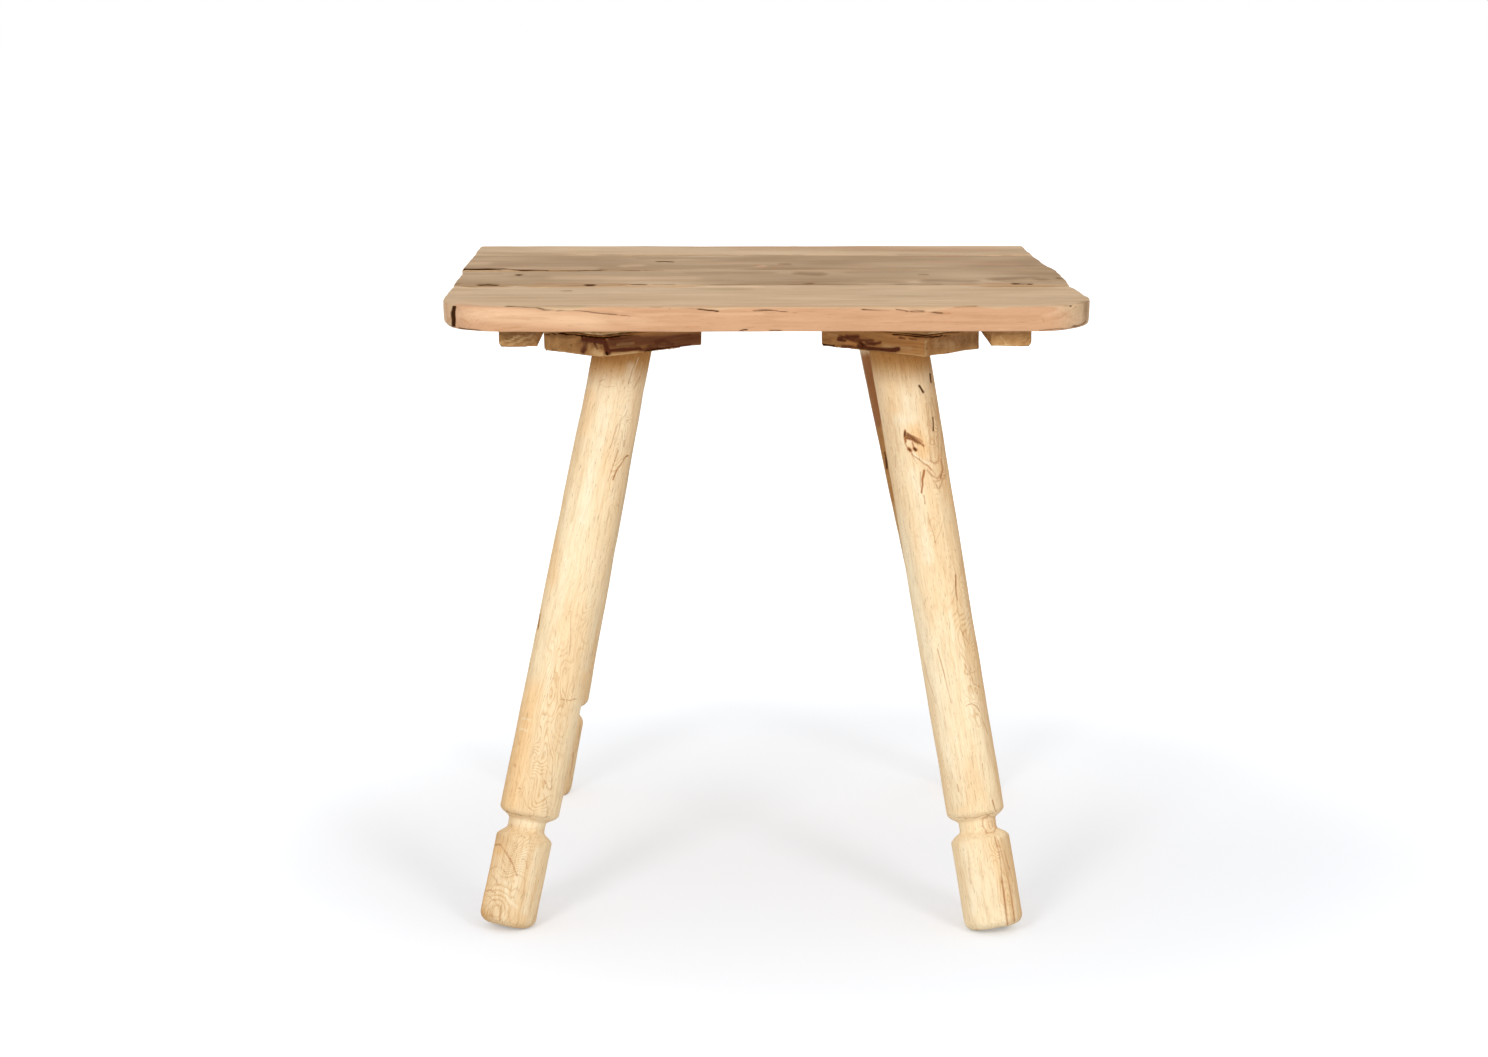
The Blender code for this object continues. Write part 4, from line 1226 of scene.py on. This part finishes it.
# %% Knots and colours of the front right leg
leg_marks["front_right"] = {
    "knot": [
        (13, 0.012, (912, 441, 919, 447)), (8, 0.01, (935, 404, 937, 444)), (8, 0.007, (944, 500, 937, 528)),
        (7, 0.006, (973, 680, 977, 690)), (8, 0.006, (972, 708, 980, 725)), (6, 0.006, (986, 824)),
        (8, 0.007, (1003, 860, 1009, 900)), (8, 0.005, (966, 612, 972, 640)),
    ],
    "shade": [
        (5, 0.35, (936, 400, 944, 440, 952, 490, 960, 530)), (6, 0.35, (958, 600, 966, 640, 974, 690)),
        (5, 0.3, (986, 740, 994, 790)), (5, 0.5, (1003, 840, 1012, 890, 1014, 920)),
        (4, 0.3, (892, 400, 898, 450)),
    ],
    "warm": [
        (8, 0.4, (890, 385, 893, 410), (940, 460, 952, 500), (996, 845, 1006, 900)),
        (9, 0.7, (914, 432, 924, 450)), (6, 0.5, (912, 447, 922, 456)),
    ],
    "pale_and_light": [
        (6, 0.4, (956, 740, 964, 800), (972, 850, 980, 900), (963, 850, 973, 910)),
        (7, 0.7, (908, 400, 912, 416, 900, 420)), (7, 0.6, (914, 474, 920, 500, 928, 560)),
        (1, 0.8, (912, 453, 920, 458.6, 929, 464)), (7, 0.25, (936, 620, 944, 660, 952, 720)),
        (2, 0.5, (950, 610, 953, 640)),
        # The stroke below paints light down the leg's left side.
        (9, 0.5, (900, 520, 908, 560, 918, 610, 928, 660, 945, 740, 958, 800)),
    ],
    "figure": [
        (9, 1, (934, 420, 940, 460, 944, 500)), (9, 0.9, (958, 600, 970, 670, 980, 720)),
        (8, 0.7, (930, 520, 938, 540)), (8, 0.8, (988, 824, 996, 850, 1006, 900)),
    ],
}

# %% Stains, cracks and a painted contact shadow on the front right leg
leg_marks["front_right"] |= {
    "stain_and_shadow": [
        (0.8, 0.5, (925, 396, 928.9, 408, 927.6, 426.5), (932, 397.4, 935.6, 412, 938.6, 434),
         (894.8, 455, 895.8, 468), (928, 512, 933, 534, 935, 543, 941, 530, 948, 504), (984, 722, 988, 734),
         (925, 700, 927, 716), (944, 716, 945.6, 730), (936, 756, 938, 770), (972, 752, 974, 768),
         (982, 764, 984.6, 780), (968, 868, 970, 884)), (0.8, 0.4, (924.6, 393, 930, 404, 933.6, 424),
         (940, 420, 945, 450, 946, 480), (961, 560, 966, 590), (960, 745, 962, 758), (957, 806, 957.6, 816),
         (950, 768, 952, 780), (986, 850, 990, 880, 996, 915), (968, 850, 972, 890)),
        (0.8, 0.45, (968, 612, 971, 630, 978, 650), (966, 786, 968, 800), (974, 790, 976, 802),
         (981, 862, 983, 880), (976, 892, 978, 908)), (0.7, 0.4, (887.5, 412, 888.6, 424),
         (891, 416, 892, 426), (896, 380, 897, 392)), (0.9, 0.6, (920.4, 472, 920.6, 488),
         (964, 664, 969.6, 674, 975.6, 671), (966, 706, 971, 703.4, 976, 706, 980, 712)),
        (0.9, 0.55, (912, 455, 917, 464), (960, 628, 966, 640, 970, 644)), (0.9, 0.7, (924, 495, 924.8, 504),
         (993, 800, 995.6, 812)), (0.9, 0.65, (972, 677, 974, 684, 980, 687), (957, 784, 959, 792)),
        (3.6, 0.8, (907, 436, 913, 438.6, 919, 442)), (1.5, 1, (905, 431, 904.6, 436, 906, 442)),
        (1.3, 0.8, (906, 432.6, 912, 436, 918, 438.6, 922, 441.6)),
        (1.6, 0.95, (906, 438, 914, 440.4, 920, 443, 924, 445.8)), (1.2, 0.8, (912.6, 443, 914, 447)),
        (1, 0.7, (905, 443, 909, 450, 913, 455, 920, 460, 928, 466, 932, 470.6)),
        (2, 1, (908.6, 449, 910.6, 451)), (2.2, 1, (914.6, 448.6, 916, 450)),
        (1.6, 0.48, (926, 404, 929.4, 424, 930.4, 445, 931.4, 459)),
        (1.4, 0.44, (931, 402, 934, 424, 934.8, 457)), (1.4, 0.46, (935, 400, 938.2, 424, 938.6, 455)),
        (1.6, 0.5, (938, 404, 941.6, 424, 942.2, 460)),
        (1.9, 0.56, (930.6, 460.6, 934, 463.6, 938.6, 460, 939, 455)),
        (1.7, 0.7, (941.6, 460, 943.2, 469, 941, 478)),
        (1.5, 0.56, (927, 470, 932, 476, 938, 478.4, 941, 474)), (1.2, 0.5, (930, 468, 936, 474.6)),
        (1.5, 0.5, (934, 481, 939, 488.6, 943, 481, 945, 475)), (1.3, 0.5, (935, 481.6, 941, 480)),
        (1.2, 1, (923.8, 470, 922.4, 480, 922.9, 485, 921.4, 493)),
        (0.9, 0.8, (955.6, 574, 956.6, 588, 957.4, 600)),
        (0.8, 0.6, (937.6, 649, 941, 664, 946, 684, 951, 703)), (0.9, 0.45, (924, 662, 928, 680, 935.6, 703)),
        (1.6, 0.4, (945, 620, 949, 636)),
        (1.2, 0.52, (983, 820, 988, 815.6, 995, 818, 998, 825, 994, 832, 987, 833, 983, 827, 983, 821)),
        (1, 0.45, (988, 822, 992, 821, 993, 827, 990, 829, 988, 824)),
        (1.3, 0.66, (994, 837, 1000, 858, 1003, 884, 1007, 925)),
        (1.2, 0.62, (998, 840, 1006, 868, 1012, 898, 1015, 922)), (1, 0.5, (1004, 850, 1013, 882)),
        # The stroke below is a painted contact shadow along the foot's lower edge.
        (0.9, 0.5, (975, 930, 990, 931, 1000, 930)),
    ],
    "crack_and_shadow": [
        (0.9, 0.5, (956, 580, 956.8, 596), (993.6, 802, 995.6, 811)),
        (1.7, 0.8, (919.4, 386, 921.6, 389, 923.6, 392)), (1.1, 0.8, (930.8, 374, 931.8, 383)),
        (3.4, 0.58, (908, 435, 914, 438.8, 920, 443)),
        (1.2, 0.62, (906, 438, 914, 440.4, 920, 443, 923.4, 445.4)), (1.1, 0.5, (906, 433, 914, 437)),
        (1.3, 0.75, (909, 449.4, 910.4, 451)), (1.5, 0.9, (914.8, 448.8, 916, 450)),
        (1.1, 0.9, (933.5, 417, 933.9, 424, 933.7, 430.6)), (1.3, 0.8, (905, 432, 904.8, 436)),
        (0.8, 0.5, (948, 815, 960, 818.6, 978, 818, 994, 813)),
    ],
}

# %% Marks on the rear left leg
leg_marks["rear_left"] = {
    "warm": [(7, 0.5, (582, 715, 579, 760, 572, 785))],
    "stain_and_shadow": [(0.8, 0.5, (580, 720, 578, 750), (574, 752, 570, 776))],
}

# %% Marks on the rear right leg
# The dark strip down this leg's side is partly bark and partly painted shade under the top.
leg_marks["rear_right"] = {
    "shade": [
        (6, 1, (868, 360, 876, 410, 884, 460, 892, 500)), (6, 0.75, (892, 500, 897, 530)),
        (7, 0.5, (897, 530, 903, 560)), (8, 0.25, (903, 560, 912, 600)),
    ],
    "stain_and_shadow": [
        (10, 1, (866, 360, 872, 390, 877, 420)), (9, 0.5, (876, 420, 886, 472, 892, 500)),
        (9, 0.3, (893, 500, 897, 524)), (1.2, 0.7, (872, 380, 876, 402)), (1.4, 0.8, (876, 400, 880, 420)),
        (1.2, 0.6, (888, 485, 893, 510)), (0.9, 0.6, (900, 540, 908, 580)),
    ],
    "crack_and_shadow": [(1.5, 1, (885, 458, 886.5, 468)), (0.9, 0.8, (884, 452, 885.4, 458))],
}

count_lines(leg_marks)

# %% Profile of a leg
leg_diameter = 0.057
leg_girth_shares = by_corner((0.990, 1.020, 0.960), (1.035, 0.995, 1.010), (0.985, 1.010, 0.970),
                             (1.000, 1.010, 0.970))
groove_place_share = by_corner(0.99, 1.00, 1.04, 1.00)
groove_middle, groove_width = 0.100, 0.0255
groove_neck_length, groove_neck_diameter = 0.010, 0.0365
foot_arris, shoulder_arris = 0.010, 0.0034
fit_gap = 0.0003


def leg_axis(corner):
    """Where a leg's axis meets the floor, and the direction in which it rises."""
    places = read_points(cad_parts[corner + "_leg"].data)[0]
    tenon_top = places[places[:, 2] > places[:, 2].max() - fit_gap]
    upper = (tenon_top.min(0) + tenon_top.max(0)) / 2
    low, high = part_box(corner + "_leg_block")
    head = np.array([(low.x + high.x) / 2, (low.y + high.y) / 2, low.z])
    rise = upper - head
    rise /= np.linalg.norm(rise)
    return head - rise * (head[2] / rise[2]), rise


def leg_profile(corner, length, pitch):
    """Radius and height at even steps along the turned outline, with its corners softened."""
    head, low, foot = [leg_diameter / 2 * share for share in leg_girth_shares[corner]]
    middle = groove_middle * groove_place_share[corner]
    bottom, top = middle - groove_width / 2, middle + groove_width / 2
    neck_radius, neck = groove_neck_diameter / 2, groove_neck_length / 2
    foot_arc = quarter((foot - foot_arris, foot_arris), (foot_arris, foot_arris), 270)
    rest = [(foot, bottom), (foot - shoulder_arris, bottom + shoulder_arris), (neck_radius, middle - neck),
            (neck_radius, middle + neck), (low - shoulder_arris, top - shoulder_arris), (low, top),
            (head, length)]
    drawn = np.concatenate([[(0, 0)], foot_arc, rest])
    along = np.linalg.norm(np.diff(drawn, axis=0), axis=1).sum()
    outline = even_steps(drawn, round(along / pitch))
    soft = outline.copy()
    for _ in range(2):
        soft[1:-1] = (soft[:-2] + soft[1:-1] * 2 + soft[2:]) / 4
    return soft[1:, 0], soft[1:, 1]


print("the front left leg rises along", leg_axis("front_left")[1].round(3))

# %% Points of a tenon
tenon_diameter = 0.038
tenon_rows, shoulder_rows = 11, 5


def tenon_points(start, rise, spoke, shaft_radius, shoulder, tenon_end):
    """Rings of points from the edge of a leg's shoulder, which is level, in to its tenon and up to its end.

    A ring that is cut level climbs the axis by its height above the start, less what its spokes rise, over
    what the axis rises to the metre.
    """
    tenon_radius = tenon_diameter / 2
    sizes = np.concatenate([np.linspace(shaft_radius, tenon_radius, shoulder_rows + 1)[1:],
                            np.full(tenon_rows, tenon_radius), [tenon_radius / 2]])
    levels = np.concatenate([np.full(shoulder_rows, shoulder),
                             np.linspace(shoulder, tenon_end, tenon_rows + 1)[1:], [tenon_end]])
    climb = (levels[:, None] - start[2] - sizes[:, None] * spoke[:, 2]) / rise[2]
    return start + rise * climb[..., None] + spoke * sizes[:, None, None]


print("a tenon has", shoulder_rows + tenon_rows + 1, "rings of points")

# %% Points of a leg
foot_wear = 0.003
leg_sides, leg_pitch = by_corner(190, 190, 120, 120), by_corner(0.0012, 0.0012, 0.0020, 0.0020)
grain_turn_degrees = by_corner(23, 109, 178, 264)
crowding, seen_from = 0.35, -math.pi / 2
scribed_length = 0.05
lowest = 0.0001


def leg_points(corner):
    """Rings of points up a leg: the turned shaft, its level shoulder, and the tenon on the same axis.

    The points of a ring crowd towards the front of the table, where they carry the finest marks.
    """
    foot, rise = leg_axis(corner)
    e2 = np.array([0, 1, 0]) - rise[1] * rise
    e2 /= np.linalg.norm(e2)
    e1 = np.cross(e2, rise)
    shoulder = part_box(corner + "_leg_block")[0].z - fit_gap
    tenon_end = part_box(corner + "_leg")[1].z
    tilt = math.acos(rise[2])
    foot_radius = leg_diameter / 2 * leg_girth_shares[corner][2]
    lift = foot_arris * (1 - math.cos(tilt)) + (foot_radius - foot_arris) * math.sin(tilt) - foot_wear
    start = foot + rise * (lift / rise[2])
    length = (shoulder - start[2]) / rise[2]
    radius, height = leg_profile(corner, length, leg_pitch[corner])
    angles = np.arange(leg_sides[corner]) * math.tau / leg_sides[corner]
    angles -= crowding * np.sin(angles - seen_from)
    spoke = np.cos(angles)[:, None] * e1 + np.sin(angles)[:, None] * e2
    turn = angles - math.radians(grain_turn_degrees[corner])
    twist = 5 * height[:, None] / (length + leg_diameter)
    swell = 1 + 0.012 * np.cos(2 * turn) + 0.007 * np.cos(3 * turn + twist)
    reach = radius[:, None] * swell
    scribe_start = length - scribed_length
    share = np.clip((height[:, None] - scribe_start) / scribed_length, 0, 1)
    scribed = (shoulder - start[2] - reach * spoke[:, 2]) / rise[2]
    up = np.where(share > 0, scribe_start + share * (scribed - scribe_start), height[:, None])
    shaft = start + rise * up[..., None] + spoke * reach[..., None]
    shaft[..., 2] = np.maximum(shaft[..., 2], lowest)
    tenon = tenon_points(start, rise, spoke, radius[-1], shoulder, tenon_end)
    return np.concatenate([shaft, tenon]), start, np.stack([rise, e1, e2], 1), shoulder


print("the front left leg has", leg_points("front_left")[0].shape[0], "rings of points")


# %% Close the rings
def closed_rings(rings):
    """Points and faces of stacked rings, joined round and closed with a fan at each end."""
    rows, columns = rings.shape[:2]
    index = np.arange(rows * columns).reshape(rows, columns)
    after = np.roll(index, -1, 1)
    sides = np.stack([index[:-1], after[:-1], after[1:], index[1:]], -1).reshape(-1, 4).tolist()
    first, last = rows * columns, rows * columns + 1
    bottom = np.stack([np.full(columns, first), after[0], index[0]], -1).tolist()
    top = np.stack([np.full(columns, last), index[-1], after[-1]], -1).tolist()
    points = np.concatenate([rings.reshape(-1, 3), [rings[0].mean(0)], [rings[-1].mean(0)]])
    return points, sides + bottom + top


# %% [markdown]
# ## The wood of the legs
# The legs are paler than the rest and turn golden towards the foot. Their outer sides are painted darker as
# shade, the shadow of each block is painted on the wood just under it, and the rings swirl in the foot,
# where a pole is cut near its root.

# %% Make the legs
# The drawknife left hollows longer than wide, with fine ripples on them
leg_dents = hollows(0.0002, (0.00018, 0.022, 0.3, 51), (0.00005, 0.006, 0.25, 52))
golden_height, golden_shade, golden_warm = 0.30, by_corner(0.45, 0, 0, 0), by_corner(0, 0.12, 0.5, 0.5)
# How much darker each leg's outer side is painted, as shade
outer_painted_shade = by_corner(0.28, 0.58, 0.30, 0.30)
# The shadow of each block is painted on the wood under it, fading over this length
head_shade_length, head_painted_shadow = 0.026, 0.36
swirl_top, swirl_fade, foot_swirl = 0.135, 0.085, by_corner(0.8, 0.2, 0.5, 0.4)
pith_offset, pith_wander, slant_along, slant_across = 0.010, 0.006, 0.02, by_corner(0.30, -0.25, 0.2, -0.2)
ring_growth, ring_shiver, ring_curl = 1.4, 0.0016, 0.0018
least_figure, figure_clouds, most_figure = 0.12, 0.2, 0.6

for number_of_leg, corner in enumerate(corner_sides):
    rings_of_points, start, turned, shoulder = leg_points(corner)
    points, faces = closed_rings(rings_of_points)
    leg = add_piece(corner + "_leg_wood", points, faces, leg_wood, "leg_wood", corner + "_leg")
    places = read_points(leg.data)[0]
    local = (places - start) @ turned
    grain = local + np.array([number_of_leg * 1.7, 0, 0])
    pith = pith_offset * turned[1, 1:]
    wander = pith_wander * waves(local[:, :1], 0.22, 80 + number_of_leg)
    rings = ring_growth * np.hypot(local[:, 1] - pith[0] + wander, local[:, 2] - pith[1])
    rings += slant_along * local[:, 0] + slant_across[corner] * local[:, 1]
    low = np.clip((swirl_top - places[:, 2]) / swirl_fade, 0, 1)
    swirl = foot_swirl[corner] * low ** 2 * (3 - 2 * low)
    rings *= 1 - swirl
    rings += ring_shiver * waves(local * (1, 2.5, 2.5), 0.09, 90 + number_of_leg)
    below = (shoulder - places[:, 2]) / head_shade_length
    figured = least_figure + figure_clouds * waves(local * (1, 2, 2), 0.15, 110 + number_of_leg)
    golden = np.clip(1 - places[:, 2] / golden_height, 0, 1) ** 0.5
    outer = np.clip(corner_sides[corner][0] * read_points(leg.data)[1][:, 0], 0, 1) ** 1.5
    painted_shade_and_golden = np.maximum(outer_painted_shade[corner] * outer, golden_shade[corner] * golden * (0.75 + outer))
    # Painted shade on the outer side, the golden foot, and the painted shadow under the block
    worn = {
        "shade": np.maximum(painted_shade_and_golden, np.exp(-below ** 2)),
        "stain_and_shadow": head_painted_shadow * np.exp(-(1.4 * below) ** 2),
        "warm": golden_warm[corner] * golden,
        "figure": np.clip(figured, 0, most_figure),
    }
    age(leg, grain, rings, leg_marks[corner], leg_dents, worn, curl=ring_curl * (1 - swirl))

# %% [markdown]
# ## Screws
# Countersunk steel screws hold the blocks and battens. Only their heads show, from below.

# %% Steel and screws
def steel():
    """Zinc-plated steel, dulled by handling."""
    material, tree = new_material("screw_steel")
    shader = tree.nodes["Principled BSDF"]
    places = add_node(tree, "TexCoord").outputs["Object"]
    cloud = add_node(tree, "TexNoise", {"Vector": places, "Scale": 900.0, "Detail": 4.0}).outputs["Fac"]
    tone = blend(tree, cloud, colour(150, 146, 138), colour(196, 192, 184))
    tree.links.new(tone, shader.inputs["Base Color"])
    tree.links.new(ramp(tree, cloud, 0.3, 0.7, 0.28, 0.5), shader.inputs["Roughness"])
    shader.inputs["Metallic"].default_value = 1
    return material


screw_steel = steel()
screws = [node for name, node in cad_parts.items() if "_screw_" in name]
for node in screws:
    node.data.materials.clear()
    node.data.materials.append(screw_steel)
print(len(screws), "screws")

# %% [markdown]
# ## Floor and light
# The table stands in an even, pale studio. Broad light from the front and a little from above leaves only
# a soft shade on the floor.

# %% Floor
floor_reflects = 0.75
floor_glow_near, floor_glow_far = 0.285, 0.66
fade_start, fade_end = 0.46, 1.04
fade_middle = (0.105, 0.04, 0)
behind_start, behind_end, behind_glow, behind_reflects = -0.10, 0.35, 0.235, 0.72
floor_tint = (1, 1.038, 1.088)


def seen_straight(tree):
    """1 for rays from the camera, and for those that mirrors and glass pass on to it."""
    path = add_node(tree, "LightPath")
    seen = number(tree, "ADD", path.outputs["Is Camera Ray"], path.outputs["Is Glossy Ray"])
    return number(tree, "ADD", seen, path.outputs["Is Transmission Ray"])


def floor_material():
    """Pale matt paper. To the camera it also glows, more so away from the table, so that it ends in white."""
    material, tree = new_material("floor")
    tree.nodes.clear()
    places = add_node(tree, "TexCoord").outputs["Object"]
    tint = np.array(floor_tint) * floor_reflects
    depth = add_node(tree, "SeparateXYZ", {0: places}).outputs["Y"]
    dimmed = ramp(tree, depth, behind_start, behind_end)
    shown = blend(tree, dimmed, (*tint.tolist(), 1), (*(tint * behind_reflects).tolist(), 1))
    paper = add_node(tree, "BsdfDiffuse", {"Color": shown})
    away = add_node(tree, "VectorMath", {0: places, 1: fade_middle}, operation="DISTANCE").outputs["Value"]
    glow = ramp(tree, away, fade_start, fade_end, floor_glow_near, floor_glow_far)
    glow = number(tree, "MULTIPLY_ADD", dimmed, behind_glow, glow)
    shown_glow = number(tree, "MULTIPLY", seen_straight(tree), glow)
    light = add_node(tree, "Emission", {"Color": (1, 1, 1, 1), "Strength": shown_glow})
    both = add_node(tree, "AddShader", {0: paper.outputs[0], 1: light.outputs[0]})
    output = add_node(tree, "OutputMaterial")
    tree.links.new(both.outputs[0], output.inputs["Surface"])
    return material


floor_size = 30.0
floor_mesh = bpy.data.meshes.new("floor")
floor_corners = np.array([(-1, -1, 0), (1, -1, 0), (1, 1, 0), (-1, 1, 0)]) * floor_size
floor_mesh.from_pydata(floor_corners.tolist(), [], [(0, 1, 2, 3)])
floor_mesh.materials.append(floor_material())
floor = bpy.data.objects.new("floor", floor_mesh)
bpy.context.scene.collection.objects.link(floor)
print("the floor is", 2 * floor_size, "metres wide")

# %% Light
ambient_strength = 0.70
soft_box_size = 0.95
light_aim = np.array([0, 0, 0.35])

world = bpy.data.worlds.new("studio")
bpy.context.scene.world = world
world.use_nodes = True
tree = world.node_tree
tree.nodes.clear()
strength = number(tree, "MINIMUM", seen_straight(tree), 1.0)
strength = number(tree, "MAXIMUM", ambient_strength, strength)
sky = add_node(tree, "Background", {"Color": (1, 1, 1, 1), "Strength": strength})
tree.links.new(sky.outputs[0], add_node(tree, "OutputWorld").inputs["Surface"])


def soft_box(name, place, share):
    """A round lamp that faces the table. Its power is what lights a white card there to that share."""
    place = np.array(place)
    away = np.linalg.norm(light_aim - place)
    data = bpy.data.lights.new(name, "AREA")
    data.shape = "DISK"
    data.size = soft_box_size
    data.energy = share * math.pi ** 2 * away ** 2
    lamp = bpy.data.objects.new(name, data)
    lamp.location = place
    lamp.rotation_euler = Vector(light_aim - place).to_track_quat("-Z", "Y").to_euler()
    bpy.context.scene.collection.objects.link(lamp)


soft_box("left_soft_box", (-1.36, -3.0, 1.65), 0.275)
soft_box("right_soft_box", (1.62, -2.9, 1.90), 0.20)
bpy.context.scene.view_settings.view_transform = "Standard"
print("lamps:", [lamp.name for lamp in bpy.data.lights])
